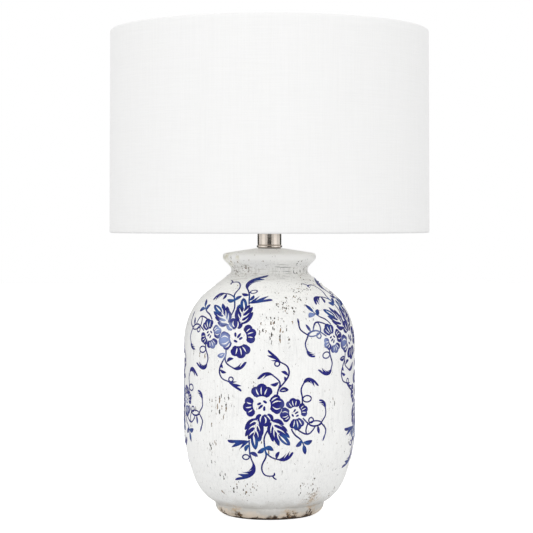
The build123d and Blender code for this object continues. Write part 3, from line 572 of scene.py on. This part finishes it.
jarHeights = []
level = jarBase + jarPlan["margin"]
while level < jarTop - jarPlan["margin"]:
    jarHeights.append(level)
    fineBand = level < jarBase + jarPlan["footBand"] or level > jarTop - jarPlan["lipBand"]
    level += jarPlan["fineStep"] if fineBand else jarPlan["plainStep"]
jarHeights.append(jarTop - jarPlan["margin"])
jarRadii = [outerRadius(height) for height in jarHeights]
jarOutline = list(zip(jarRadii, jarHeights))
jarRun = [0.0]
for lower, upper in zip(jarOutline, jarOutline[1:]):
    jarRun.append(jarRun[-1] + math.dist(lower, upper))


def lookUp(value, steps, results):
    low, high = 0, len(steps) - 1
    while high - low > 1:
        middle = (low + high) // 2
        low, high = (middle, high) if steps[middle] <= value else (low, middle)
    share = min(max((value - steps[low]) / (steps[high] - steps[low]), 0), 1)
    return results[low] + share * (results[high] - results[low])


def unevenness(angle, height):
    # how far the pot's wall stands off its true outline
    across = jarPlan["lumpsAround"]
    spot = Vector((across * math.cos(angle), across * math.sin(angle), height * jarPlan["lumpsUp"]))
    drift = jarPlan["ridgeDrift"] * noise.noise(spot * jarPlan["driftGrain"])
    ridge = math.sin(2 * math.pi * height / jarPlan["ridgePitch"] + drift) * jarPlan["ridge"]
    nearLip, belowLip = jarPlan["calmLip"]
    calm = smoothStep(jarTop - nearLip, jarTop - belowLip, height)
    calm *= smoothStep(jarBase, jarBase + jarPlan["calmFoot"], height)
    return (noise.noise(spot) * jarPlan["lump"] + ridge) * calm


def chipAt(place):
    # how much of a chip's depth is broken off the foot's rim there
    above, full = jarPlan["chipZone"]
    rim = smoothStep(jarBase + above, jarBase + full, place.z)
    bite = noise.noise(place * jarPlan["chipGrain"])
    bite += jarPlan["chipFineShare"] * noise.noise(place * jarPlan["chipFineGrain"])
    return rim * smoothStep(*jarPlan["chipEdge"], bite)


recessRadius, recessTop = jarPlan["recessRadius"], jarPlan["recessTop"]
jarProfile = [(jarPlan["boreRadius"], recessTop), (recessRadius - jarPlan["recessRound"], recessTop),
              (recessRadius, recessTop - jarPlan["recessRound"]), (recessRadius, jarBase)]
jarProfile += jarOutline
jarProfile += [(jarRadii[-1], jarTop), (jarPlan["boreRadius"], jarTop), jarProfile[0]]
jar = lathe("jar", jarProfile, jarPlan["steps"], jarPlan["smooth"])
for corner in jar.data.vertices:
    radius = widthOf(corner.co)
    inRecess = radius < recessRadius + jarPlan["footWall"] and corner.co.z < jarTop - jarPlan["footBand"]
    if inRecess or radius < jarPlan["seatRadius"]:
        continue
    shift = unevenness(math.atan2(corner.co.x, -corner.co.y), corner.co.z)
    shift -= chipAt(corner.co) * jarPlan["chip"]
    scaleRadius(corner, 1 + shift / radius)
settle()
bpy.ops.mesh.primitive_cylinder_add(
    vertices=jarPlan["drillCorners"], radius=jarPlan["outletRadius"], depth=jarPlan["drillLength"],
    rotation=(math.pi / 2, 0, 0), location=(0, jarPlan["outletBack"], jarPlan["outletHeight"]))
drill = named("drill")
modify(jar, "BOOLEAN", object=drill, operation="DIFFERENCE")
bpy.data.objects.remove(drill)
setMode("EDIT")
selectAll()
bpy.ops.mesh.dissolve_degenerate(threshold=jarPlan["sliver"])
setMode("OBJECT")
finishPiece(jar, "lamp_base", "glazed_ceramic", "ceramic_jar")
print("jar turned", len(jar.data.polygons))


# Painting: one spray drawn flat, in millimetres about its large flower, then laid on the jar eight times

sprayPlan = {
    "flowers": [  # each petal: the way it points, how far it reaches and how wide it spreads
        {"at": (0.7, -1.4), "inner": 9.6, "stamen": 2.6, "arched": 184,
         "petals": [(-90, 23.2, 1), (8, 20.7, 1.04), (184, 24.3, 0.87)],
         "stamens": [((5.0, -0.6), (0.6, -2.5)), ((-1.4, -5), (-5.5, -2.3)), ((3.7, 4.2), (-1.1, -0.6)),
                     ((-2.8, 0.8), (-2.6, 6.2))]},
        {"at": (-35.3, 7.2), "inner": 6.7, "stamen": 1.9, "arched": 9,
         "petals": [(-78, 16.4, 1), (9, 16.9, 0.95), (100, 18.9, 0.9), (199, 15.2, 1)],
         "stamens": [((1.9, -0.7), (-0.5, -4.2)), ((0.5, 1), (-3.6, -1.4)), ((3.9, 1), (1.5, 4)),
                     ((-0.8, 3.7), (-4.2, 2.3))]},
    ],
    # every blade and slit: its root, its tip, how wide it is and how far it bows aside
    "bud": [((-2.5, 8.2), (-4.0, 21.6), 10.6, 0), ((2.1, 7.9), (5.9, 15.7), 6.2, 0),
            ((-5.6, 7.6), (-11.1, 15.6), 5.0, 0.08)],
    "budLines": [((0.6, 9.2), (1.9, 17), 1.3, -0.12), ((-2.1, 10.5), (-2.8, 18.3), 1.5, 0.18),
                 ((-4.4, 9.2), (-8.8, 15), 1.3, 0.1)],
    "leaves": [  # the end blade comes first, and white slits part the blades
        {"blades": [((9.6, 27.6), (7.4, 46.4), 7.8, 0), ((4.6, 12.6), (19.3, 24.4), 4.6, -0.12),
                    ((6.2, 17.0), (19.2, 25.2), 4.8, -0.08), ((8, 22.6), (18.8, 32.1), 5.4, -0.1),
                    ((9, 28.6), (15.4, 35.2), 5, -0.1), ((3.8, 12.4), (0.1, 31.3), 4.6, 0.05),
                    ((6.6, 17.4), (2, 37.1), 4.8, 0.07), ((8.2, 24), (3.4, 38), 4.6, 0.05)],
         "slits": [((9.6, 30.6), (8, 41.8), 1.7, 0), ((5.4, 13.2), (9.6, 32), 1.4, 0.03),
                   ((6, 14.7), (13.8, 19.2), 1.2, -0.08), ((7.4, 20), (15, 25), 1.2, -0.08),
                   ((8.8, 26.4), (14.3, 31.6), 1.2, -0.08), ((7, 17.6), (2.4, 26.4), 1.2, 0.08),
                   ((8.2, 23.6), (4.2, 33), 1.2, 0.08)]},
        {"blades": [((-16.6, 29), (-29.8, 41.8), 7.6, 0), ((-10, 15.3), (-23.2, 19.7), 4.8, 0.14),
                    ((-12, 20), (-27.1, 26.8), 5, 0.09), ((-15, 25.6), (-29.5, 33.6), 5.2, 0.09),
                    ((-9.4, 16.6), (-7.4, 30.6), 4, -0.1), ((-11.2, 19), (-11.5, 37.9), 5.4, -0.08),
                    ((-13.6, 24), (-17.9, 42.3), 5.6, -0.05)],
         "slits": [((-19, 31.6), (-26.6, 39.6), 1.7, 0), ((-9.8, 16.2), (-19.4, 32.4), 1.5, -0.05),
                   ((-11.2, 18.4), (-21, 21.8), 1.3, 0.1), ((-14.2, 23.8), (-24.4, 29.2), 1.3, 0.1),
                   ((-10.6, 18), (-9, 28.4), 1.2, -0.06), ((-12.6, 22.4), (-13, 33), 1.2, -0.06),
                   ((-15.8, 28), (-18.8, 37.4), 1.2, -0.06)]},
    ],
    "blades": [
        ((-18, -16.4), (-28.2, -17.7), 5.5, 0.1), ((-17.4, -26), (-8.5, -23.4), 3.7, 0.16),
        ((-27.4, -33), (-20, -37.4), 3.4, -0.12), ((-24.4, -26.6), (-23.6, -32), 2.8, -0.1),
        ((-42.7, 37), (-36.1, 43.6), 4.6, 0.1), ((-44.6, 39.3), (-55.5, 37.6), 5.1, -0.12),
        ((-45.2, 41.6), (-46.9, 52.6), 4.8, 0.0), ((-62.3, 22), (-64.1, 31.2), 3.4, 0.0),
        ((-2.2, 44), (5.4, 50), 4.8, 0.08), ((-1.6, 44.6), (-12, 47), 5.3, 0.14),
        ((-14.7, 56.4), (-18.1, 48.2), 3.7, 0.1), ((15, 41), (18.9, 48.6), 4.1, -0.1),
        ((13.8, 49.6), (5, 53.8), 4.4, 0.08),
    ],
    "stems": [
        [(-15.7, -11.5), (-16.2, -16), (-18.1, -20), (-19.2, -25), (-16.4, -29.6), (-10.6, -33.6)],
        [(-17.8, -19.4), (-24.3, -26.4), (-29, -34), (-28, -41), (-24.6, -45), (-18.4, -47.6)],
        [(-43.2, -1.5), (-44, -8), (-41.6, -16.4), (-43, -21.5), (-46.4, -26)],
        [(-44, 13), (-50.2, 19.4), (-56, 22.6), (-65, 21.6), (-69.4, 16), (-74.4, 10), (-72.2, 2.5)],
        [(-66.5, 19), (-73.6, 25), (-73, 31), (-71.6, 33.5)],
        [(-38.4, 25.4), (-46, 31), (-54.6, 29.8), (-59.6, 21.6)],
        [(-50.1, 19.3), (-46.4, 25.9), (-48.6, 30)],
        [(-31.2, 24), (-33.6, 30.4), (-43, 36), (-45.4, 43)],
        [(-6.2, 24.5), (-1.6, 31.6), (-2, 40.3), (-3, 47.1), (-4.4, 54), (1.2, 63), (1, 71), (-3.4, 76.6),
         (-10.9, 75.8)],
        [(-3.4, 48.6), (-8, 56), (-18, 57.2)],
        [(14.4, 36), (14.2, 45.5), (13.6, 54), (10.2, 62)],
        [(-10.4, 75.6), (-11.2, 78.6), (-14.4, 80)],
    ],
    # crescents that end the stems: path, swell, the side that is barbed and how many barbs
    "curls": [
        ([(-11.6, -33.2), (-3.6, -37.6), (5.6, -29.6)], 2.9, 1, 2),
        ([(-19.4, -47.2), (-12.6, -51.2), (-6.4, -60.6)], 3.1, 1, 3),
        ([(-44.6, -23.6), (-50, -32.4), (-63.6, -21)], 3.7, -1, 4),
        ([(-72.6, 4.4), (-71.4, -3.4), (-64.4, -5.9)], 2.9, 1, 3),
        ([(-72.4, 31.8), (-70.8, 35), (-68.8, 39.4)], 1.4, 1, 0),
        ([(-9.6, 75.9), (-13.2, 75.2), (-12.4, 71.8)], 1.5, 1, 0),
        ([(-16, 57), (-26.4, 58), (-33.4, 49.8)], 3.5, 1, 3),
        ([(10.9, 59.6), (6.4, 74.4), (19, 76.2), (31, 82)], 4.6, -1, 4),
        ([(14.2, 37.4), (24, 41.6), (39, 36.8)], 4.2, 1, 3),
    ],
    # middle, width and height of each loop
    "loops": [((-15.7, -45.6), 2.7, 2.7), ((-49, -7.5), 5.2, 3.6), ((-59.4, 19.4), 8.0, 2.9),
              ((-53.9, 15.7), 3.0, 3.0), ((18.2, 54.8), 3.8, 2.8)],
    # place, reach and strength of each greener touch
    "teal": [((7, 39), 9, 0.9), ((-24, 36), 9, 0.9), ((-36.6, 20), 6, 0.6), ((-4, 46), 10, 0.9),
             ((15, 44), 9, 0.7), ((21, 77), 9, 0.4), ((-46, 42), 10, 0.8), ((27, 39), 9, 0.5)],
    "line": 0.84, "veinedFrom": 5.4, "veinWidth": 0.13, "veinSpan": (0.2, 0.7),
    "grid": 4.0, "gridLines": 22, "gridShift": 0.43, "sliver": 0.003,
    "rest": 0.05, "film": 0.10, "veinGap": 0.02, "veinFilm": 0.06, "flatten": 0.32,
}
petalPlan = {  # shares of a petal's reach, and angles in radians
    "tipAt": 0.74, "tipRound": 0.26, "sideAt": 0.69, "sideRound": 0.22, "sideTurn": 0.41, "trim": 0.02,
    "drawnFrom": 0.78, "drawn": 0.45, "waist": 0.65,
    # each vein: its turn, how far out it ends and how far it bows aside
    "eyeVeins": ((0.39, 0.79, 0.12), (0.10, 0.89, 0.16), (-0.20, 0.85, -0.22)),
    "fanVeins": ((-0.32, 0.81, 0.05), (0.02, 0.86, 0.05), (0.34, 0.80, 0.05)),
    "veinRoot": 0.07, "veinWidth": 0.056, "veinFan": 0.85,
}
curlPlan = {"full": 1.45, "fullEarly": 0.85, "plump": 0.8, "back": 0.5, "barbRoot": 0.12, "barbReach": 1.15,
            "barbLean": 1.1, "plainEdge": 0.4}
strokePlan = {"thickest": 1.15, "thickestAt": 0.4, "taper": 0.5, "loopLine": 0.9, "loopPoints": 10,
              "curveSteps": 5}


def drawPatch(outline):
    # a filled circle whose rim is moved onto the outline, kept anticlockwise
    turning = sum(x * nextY - nextX * y for (x, y), (nextX, nextY) in zip(outline, outline[1:] + outline[:1]))
    bpy.ops.mesh.primitive_circle_add(vertices=len(outline), radius=1, fill_type="NGON")
    flat = bmesh.from_edit_mesh(bpy.context.object.data)
    rim = [corner for corner in flat.verts if corner.select]
    for corner, (x, y) in zip(rim, outline if turning > 0 else outline[::-1]):
        corner.co = (x, y, 0)


def turnedPoint(origin, angle, reach):
    return (origin[0] + reach * math.cos(angle), origin[1] + reach * math.sin(angle))


def drawBlade(root, tip, width, bow=0.0, fullest=0.45, plump=0.8, count=11):
    # pointed, widest at fullest of its length, with its middle aside by bow of its length
    length = math.dist(root, tip)
    along = ((tip[0] - root[0]) / length, (tip[1] - root[1]) / length)
    skew = math.log(0.5) / math.log(fullest)
    left, right = [], []
    for step in range(count):
        share = step / (count - 1)
        half = width / 2 * max(math.sin(math.pi * share ** skew), 0) ** plump
        aside = bow * length * math.sin(math.pi * share)
        x = root[0] + along[0] * length * share - along[1] * aside
        y = root[1] + along[1] * length * share + along[0] * aside
        left.append((x - along[1] * half, y + along[0] * half))
        right.append((x + along[1] * half, y - along[0] * half))
    drawPatch(right + left[-2:0:-1])


def drawPetal(at, inner, turn, reach, spread, count=33):
    # three lobes outside, hollowed inside round the flower's white middle
    sideTurn, sideRound = petalPlan["sideTurn"] * spread, petalPlan["sideRound"] * spread
    lobes = [(0, petalPlan["tipAt"], petalPlan["tipRound"]), (-sideTurn, petalPlan["sideAt"], sideRound),
             (sideTurn, petalPlan["sideAt"], sideRound)]
    half = sideTurn + math.asin(sideRound / petalPlan["sideAt"]) - petalPlan["trim"]
    outside, inside = [], []
    for step in range(count):
        share = 2 * step / (count - 1) - 1
        far = 0
        for lobeTurn, distance, radius in lobes:
            aside = distance * math.sin(share * half - lobeTurn)
            if abs(aside) < radius:
                ahead = distance * math.cos(share * half - lobeTurn)
                far = max(far, ahead + math.sqrt(radius ** 2 - aside ** 2))
        drawn = petalPlan["drawn"] * smoothStep(petalPlan["drawnFrom"], 1, abs(share))
        near = inner + drawn * (petalPlan["waist"] * reach - inner)
        outside.append(turnedPoint(at, turn + share * half, far * reach))
        inside.append(turnedPoint(at, turn + share * half, near))
    drawPatch(outside + inside[::-1])


def drawCurl(path, swell, side, barbs, count=37):
    # a crescent, smooth outside, with barbs that lean towards its tip inside
    points = [Vector(point) for point in path]
    if len(points) == 3:
        points[1:2] = [points[0].lerp(points[1], 2 / 3), points[2].lerp(points[1], 2 / 3)]
    line = geometry.interpolate_bezier(*points, count)
    smooth, barbed = [], []
    for index, point in enumerate(line):
        share = index / (count - 1)
        ahead = (line[min(index + 1, count - 1)] - line[max(index - 1, 0)]).normalized()
        aside = Vector((-ahead.y, ahead.x)) * side
        full = 0
        if 0 < share < 1:
            full = math.sin(math.pi * share ** curlPlan["fullEarly"]) ** curlPlan["plump"]
            full *= curlPlan["full"] * swell
        root = sprayPlan["line"] * (1 - share)
        tooth = (share * barbs) % 1 if barbs else curlPlan["plainEdge"]
        reach = max(full * (curlPlan["barbRoot"] + curlPlan["barbReach"] * tooth), root)
        smooth.append(tuple(point - aside * max(curlPlan["back"] * full, root)))
        barbed.append(tuple(point + aside * reach + ahead * curlPlan["barbLean"] * full * tooth))
    drawPatch(smooth + barbed[-2::-1])


def drawFlowerBlue(flower):
    at = Vector(flower["at"])
    for turn, reach, spread in flower["petals"]:
        drawPetal(at, flower["inner"], math.radians(turn), reach, spread)
    for start, end in flower["stamens"]:
        drawBlade(at + Vector(start), at + Vector(end), flower["stamen"], fullest=0.55, plump=0.35)


def drawFlowerVeins(flower):
    # the arched petal has an eye of two lines and one line beside it, the others a fan
    for petal in flower["petals"]:
        turn, reach = petal[:2]
        angle = math.radians(turn)
        rootReach = flower["inner"] + petalPlan["veinRoot"] * reach
        for aside, outer, bow in petalPlan["eyeVeins" if turn == flower["arched"] else "fanVeins"]:
            root = turnedPoint(flower["at"], angle + aside * petalPlan["veinFan"], rootReach)
            tip = turnedPoint(flower["at"], angle + aside, outer * reach)
            drawBlade(root, tip, petalPlan["veinWidth"] * reach, bow)


def drawStroke(curve, path, widths, closed=False):
    spline = curve.data.splines.new("NURBS")
    spline.points.add(len(path) - 1)
    for point, (x, y), width in zip(spline.points, path, widths):
        point.co = (x, y, 0, 1)
        point.radius = width
    spline.order_u = 3
    spline.use_cyclic_u = closed
    spline.use_endpoint_u = not closed


def startFlat(name):
    settle()
    bpy.ops.mesh.primitive_plane_add(size=1)
    flat = named(name)
    setMode("EDIT")
    bpy.ops.mesh.delete(type="VERT")
    return flat


def closeFlat():
    # triangles no longer than the grid, so that the patches follow the jar's curve
    selectAll()
    bpy.ops.mesh.quads_convert_to_tris(ngon_method="CLIP")
    lines = sprayPlan["gridLines"]
    for axis in (Vector((1, 0, 0)), Vector((0, 1, 0))):
        for line in range(-lines, lines + 1):
            cut = sprayPlan["grid"] * (line + sprayPlan["gridShift"])
            selectAll()
            bpy.ops.mesh.bisect(plane_co=axis * cut, plane_no=axis)
    selectAll()
    bpy.ops.mesh.dissolve_degenerate(threshold=sprayPlan["sliver"])
    setMode("OBJECT")


blueFlat = startFlat("blueFlat")
for flower in sprayPlan["flowers"]:
    drawFlowerBlue(flower)
for blade in sprayPlan["bud"]:
    drawBlade(*blade, fullest=0.5, plump=0.55, count=17)
for leaf in sprayPlan["leaves"]:
    for blade in leaf["blades"]:
        drawBlade(*blade, fullest=0.5, plump=0.6)
for blade in sprayPlan["blades"]:
    drawBlade(*blade, fullest=0.5, plump=0.7)
for curl in sprayPlan["curls"]:
    drawCurl(*curl)
closeFlat()

veinFlat = startFlat("veinFlat")
for flower in sprayPlan["flowers"]:
    drawFlowerVeins(flower)
for slit in sprayPlan["budLines"] + [slit for leaf in sprayPlan["leaves"] for slit in leaf["slits"]]:
    drawBlade(*slit, fullest=0.4)
for root, tip, width, bow in sprayPlan["blades"]:
    if width > sprayPlan["veinedFrom"]:
        start, end = (Vector(root).lerp(Vector(tip), share) for share in sprayPlan["veinSpan"])
        drawBlade(start, end, width * sprayPlan["veinWidth"], bow)
closeFlat()

settle()
bpy.ops.curve.primitive_nurbs_path_add(radius=1)
strokes = named("strokes")
strokes.data.splines.clear()
strokes.data.bevel_depth = 1
strokes.data.bevel_resolution = 0
strokes.data.use_fill_caps = True
strokes.data.resolution_u = strokePlan["curveSteps"]
strokes.data.twist_mode = "Z_UP"
for stem in sprayPlan["stems"]:
    widths = []
    for index in range(len(stem)):
        away = abs(index / (len(stem) - 1) - strokePlan["thickestAt"])
        widths.append(sprayPlan["line"] * (strokePlan["thickest"] - strokePlan["taper"] * away))
    drawStroke(strokes, stem, widths)
turns = [2 * math.pi * step / strokePlan["loopPoints"] for step in range(strokePlan["loopPoints"])]
for (x, y), wide, tall in sprayPlan["loops"]:
    around = [(x + wide * math.cos(turn), y + tall * math.sin(turn)) for turn in turns]
    drawStroke(strokes, around, [sprayPlan["line"] * strokePlan["loopLine"]] * len(turns), closed=True)
pick(strokes)
bpy.ops.object.convert(target="MESH")
strokes = bpy.context.object

# the upper row leans and stands, the lower row hangs upside down, and no two sit quite alike
jarSprays = [{"turn": turn, "height": height, "upright": 1, "lean": 10.5, "tall": 0.97}
             for turn, height in ((-21.4, 203.4), (68, 198), (158, 201), (249, 203))]
jarSprays += [{"turn": turn, "height": height, "upright": -1, "lean": 0, "tall": 1}
              for turn, height in ((-4.6, 129), (82, 137), (175, 131), (267, 137))]
washSpots = {  # pale brush work: place on the spray, reach and strength, for the sprays that have it
    0: [((-16, -1.5), 11, 1.0), ((-22.5, 11), 8, 0.9), ((-32, -5), 7, 0.6), ((-14, 21), 8, 0.9),
        ((-8.5, 11.5), 6, 0.9), ((-21, -17), 9, 0.8)],
    1: [((-48, 6), 8, 0.7), ((-34, -4), 8, 0.5), ((-50, 38.5), 7, 0.8), ((-16, -1.5), 9, 0.6),
        ((-58, 18), 12, 0.5)],
    2: [((-16, -1.5), 11, 0.9), ((-34, 18), 8, 0.6)],
    3: [((-30, 10), 12, 0.7), ((-14, 28), 9, 0.5)],
    6: [((16, 2), 10, 0.6), ((-20, 30), 9, 0.5)],
    7: [((-16, -1), 12, 0.7), ((0, -16), 9, 0.4), ((-34, 10), 9, 0.4)],
}
spotCore = 0.35
slopeProbe = 0.5 * mm


def spotAmount(place, spots):
    amount = 0
    for spot, reach, most in spots:
        amount = max(amount, most * smoothStep(reach, reach * spotCore, math.dist(place, spot)))
    return amount


def ontoJar(spray, middle, x, y, off):
    # where a point of the flat spray comes to lie, off millimetres above the wall
    lean = math.radians(spray["lean"])
    aside = x * math.cos(lean) - y * math.sin(lean)
    up = (x * math.sin(lean) + y * math.cos(lean)) * spray["tall"]
    run = middle + spray["upright"] * up * mm
    height, radius = lookUp(run, jarRun, jarHeights), lookUp(run, jarRun, jarRadii)
    rise = lookUp(run + slopeProbe, jarRun, jarHeights) - height
    slope = math.atan2(radius - lookUp(run + slopeProbe, jarRun, jarRadii), rise)
    angle = math.radians(spray["turn"]) + spray["upright"] * aside * mm / radius
    radius += unevenness(angle, height) + off * mm * math.cos(slope)
    return wallPoint(angle, radius, height + off * mm * math.sin(slope))


def layOnJar(flat, name, lift, flatten):
    copies = []
    for index, spray in enumerate(jarSprays):
        piece = flat.copy()
        piece.data = flat.data.copy()
        piece.name = f"{name}{index}"
        scene.collection.objects.link(piece)
        washed = piece.data.attributes.new("wash", "FLOAT", "POINT")
        teal = piece.data.attributes.new("teal", "FLOAT", "POINT")
        middle = lookUp(spray["height"] * mm, jarHeights, jarRun)
        for order, corner in enumerate(piece.data.vertices):
            x, y, z = corner.co
            washed.data[order].value = spotAmount((x, y), washSpots.get(index, []))
            teal.data[order].value = spotAmount((x, y), sprayPlan["teal"])
            corner.co = ontoJar(spray, middle, x, y, lift + z * flatten)
        copies.append(piece)
    bpy.data.objects.remove(flat)
    pick(*copies)
    bpy.ops.object.join()
    whole = named(name)
    setMode("EDIT")
    selectAll()
    bpy.ops.mesh.remove_doubles(threshold=weldReach)
    setMode("OBJECT")
    return whole


petals = layOnJar(blueFlat, "paintedPetals", sprayPlan["rest"], 1)
modify(petals, "SOLIDIFY", thickness=sprayPlan["film"] * mm, offset=1)
veinRest = sprayPlan["rest"] + sprayPlan["film"] + sprayPlan["veinGap"]
veins = layOnJar(veinFlat, "paintedVeins", veinRest, 1)
modify(veins, "SOLIDIFY", thickness=sprayPlan["veinFilm"] * mm, offset=1)
tendrils = layOnJar(strokes, "paintedTendrils", sprayPlan["rest"], sprayPlan["flatten"])
finishPiece(petals, "lamp_base", "glazed_ceramic", material=ink)
finishPiece(veins, "lamp_base", "glazed_ceramic")
finishPiece(tendrils, "lamp_base", "glazed_ceramic", material=ink)
print("jar painted", [len(piece.data.polygons) for piece in (petals, veins, tendrils)])


# Shade: one sheet of cloth, rolled round both rings and lapped at the back

shadePlan = {
    "steps": 288, "smooth": 60, "cloth": 0.6 * mm, "roll": 2.0 * mm, "rollSteps": 12, "skinSteps": 24,
    "hemDepth": 10 * mm, "hemGap": 0.75 * mm, "hemAngle": 196, "inset": 0.2 * mm,
    "ripple": 0.22 * mm, "ripplesAround": 4, "ripplesUp": 6,
    "edgeBand": 12 * mm, "edgeRipple": 0.12 * mm, "edgeRipplesAround": 22,
    "lapWidth": 13 * mm, "lapLift": 0.1 * mm, "lapCloth": 0.4 * mm, "lapColumns": 6, "lapRows": 12,
}


def hemRoll(ring, sign):
    # from the glued edge inside, round the ring wire, to the outer skin
    low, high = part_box(ring)
    x, z = high.x - (high.z - low.z) / 2, (low.z + high.z) / 2
    line = [(x + shadePlan["hemGap"], z - sign * shadePlan["hemDepth"])]
    for step in range(shadePlan["rollSteps"] + 1):
        angle = math.radians(shadePlan["hemAngle"] * (1 - step / shadePlan["rollSteps"]))
        line.append(turnedPoint((x, z), sign * angle, shadePlan["roll"]))
    return line


def rippleAt(angle, height, around, up):
    return noise.noise(Vector((around * math.cos(angle), around * math.sin(angle), height * up)))


topLine, baseLine = hemRoll("shade_top_ring", 1), hemRoll("shade_bottom_ring", -1)
skinTop, skinBase = Vector(topLine[-1]), Vector(baseLine[-1])
skinShares = [step / shadePlan["skinSteps"] for step in range(1, shadePlan["skinSteps"])]
coverLine = topLine + [tuple(skinTop.lerp(skinBase, share)) for share in skinShares] + baseLine[::-1]
cover = lathe("shadeCover", coverLine, shadePlan["steps"], shadePlan["smooth"])
for corner in cover.data.vertices:
    angle, height = math.atan2(corner.co.x, -corner.co.y), corner.co.z
    edge = smoothStep(skinTop.y - shadePlan["edgeBand"], skinTop.y, height)
    edge += smoothStep(skinBase.y + shadePlan["edgeBand"], skinBase.y, height)
    wave = rippleAt(angle, height, shadePlan["ripplesAround"], shadePlan["ripplesUp"]) * shadePlan["ripple"]
    wave += edge * rippleAt(angle, height, shadePlan["edgeRipplesAround"], 1) * shadePlan["edgeRipple"]
    scaleRadius(corner, 1 + (wave - shadePlan["inset"]) / widthOf(corner.co))
modify(cover, "SOLIDIFY", thickness=shadePlan["cloth"], offset=0)
finishPiece(cover, "shade", "shade_fabric", "shade_fabric")

settle()
bpy.ops.mesh.primitive_grid_add(
    x_subdivisions=shadePlan["lapColumns"], y_subdivisions=shadePlan["lapRows"], size=1)
lap = named("shadeLap")
for corner in lap.data.vertices:
    skinRadius, height = skinBase.lerp(skinTop, corner.co.y + 0.5)
    radius = skinRadius + shadePlan["cloth"] / 2 + shadePlan["lapLift"]
    corner.co = wallPoint(math.pi + corner.co.x * shadePlan["lapWidth"] / radius, radius, height)
modify(lap, "SOLIDIFY", thickness=-shadePlan["lapCloth"], offset=1)
finishPiece(lap, "shade", "shade_fabric")
print("shade covered", len(cover.data.polygons))


# Felt under the foot

feltPlan = {"corners": 96, "round": 0.35 * mm, "roundSteps": 2, "smooth": 50}
feltLow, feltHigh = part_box("base_pad")
settle()
bpy.ops.mesh.primitive_cylinder_add(
    vertices=feltPlan["corners"], radius=feltHigh.x, depth=feltHigh.z - feltLow.z,
    location=(0, 0, (feltLow.z + feltHigh.z) / 2))
felt = named("feltPad")
bpy.ops.object.transform_apply(location=True)
modify(felt, "BEVEL", width=feltPlan["round"], segments=feltPlan["roundSteps"])
smoothByAngle(feltPlan["smooth"])
finishPiece(felt, "lamp_base", "felt", "base_pad")
print("felt laid")


# Bulb cap and the screw shell round it: one rolled right-hand thread, in step wherever the bulb is turned to

threadPlan = {"pitch": 3.63 * mm, "depth": 0.65 * mm, "row": 0.3 * mm, "steps": 96, "smooth": 50,
              "collar": 8.4 * mm, "fade": 2.2 * mm, "wall": 0.4 * mm, "gap": 0.3 * mm,
              "shellWall": 0.5 * mm, "shellHole": 7 * mm, "skin": 0.01 * mm}
capLow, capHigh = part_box("bulb_cap")
shellLow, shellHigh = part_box("screw_shell")
capRadius, capSeat = capHigh.x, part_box("bulb_insulator")[1].x
threadBase, threadTop = capLow.z + capRadius - capSeat, capHigh.z - threadPlan["collar"]


def threadDip(place):
    # 0 on the crest and 1 at the bottom of the groove
    turn = 2 * math.pi * place.z / threadPlan["pitch"] - math.atan2(place.y, place.x)
    return 0.5 - 0.5 * math.cos(turn)


def threadRows(radius, low, high):
    count = round((high - low) / threadPlan["row"])
    return [(radius, low + (high - low) * step / count) for step in range(count + 1)]


wall, fade = threadPlan["wall"], threadPlan["fade"]
innerRadius = capRadius - threadPlan["depth"] - wall
capProfile = [(capSeat - wall, capLow.z), (capSeat, capLow.z)]
capProfile += threadRows(capRadius, threadBase, threadTop)
capProfile += [(capRadius, capHigh.z), (capRadius - wall, capHigh.z), (capRadius - wall, threadTop),
               (innerRadius, threadTop - fade), (innerRadius, threadBase),
               (capSeat - wall, capLow.z + wall), capProfile[0]]
cap = lathe("bulbCap", capProfile, threadPlan["steps"], threadPlan["smooth"])
for corner in cap.data.vertices:
    radius, height = widthOf(corner.co), corner.co.z
    if radius > capRadius - threadPlan["skin"] and height < threadTop:
        ridge = 1 - threadDip(corner.co) * smoothStep(threadTop, threadTop - fade, height)
        ridge *= smoothStep(threadBase, threadBase + fade, height)
        scaleRadius(corner, (capRadius - threadPlan["depth"] * (1 - ridge)) / radius)
finishPiece(cap, "bulb", "bulb_alloy", "bulb_cap")

boreRadius = capRadius + threadPlan["gap"]
floorTop = shellLow.z + threadPlan["shellWall"]
shellProfile = [(threadPlan["shellHole"], shellLow.z), (shellHigh.x, shellLow.z)]
shellProfile += threadRows(shellHigh.x, floorTop, shellHigh.z)
shellProfile += threadRows(boreRadius, floorTop, shellHigh.z)[::-1]
shellProfile += [(threadPlan["shellHole"], floorTop), shellProfile[0]]
screwShell = lathe("screwShell", shellProfile, threadPlan["steps"], threadPlan["smooth"])
for corner in screwShell.data.vertices:
    radius, height = widthOf(corner.co), corner.co.z
    if radius > boreRadius - threadPlan["skin"]:
        depth = threadPlan["depth"] * smoothStep(floorTop, floorTop + fade, height)
        depth *= smoothStep(threadTop - fade, threadTop - 2 * fade, height)
        scaleRadius(corner, (radius - depth * threadDip(corner.co)) / radius)
finishPiece(screwShell, "lamp_base", "brass", "screw_shell")
print("threads rolled", len(cap.data.polygons), len(screwShell.data.polygons))
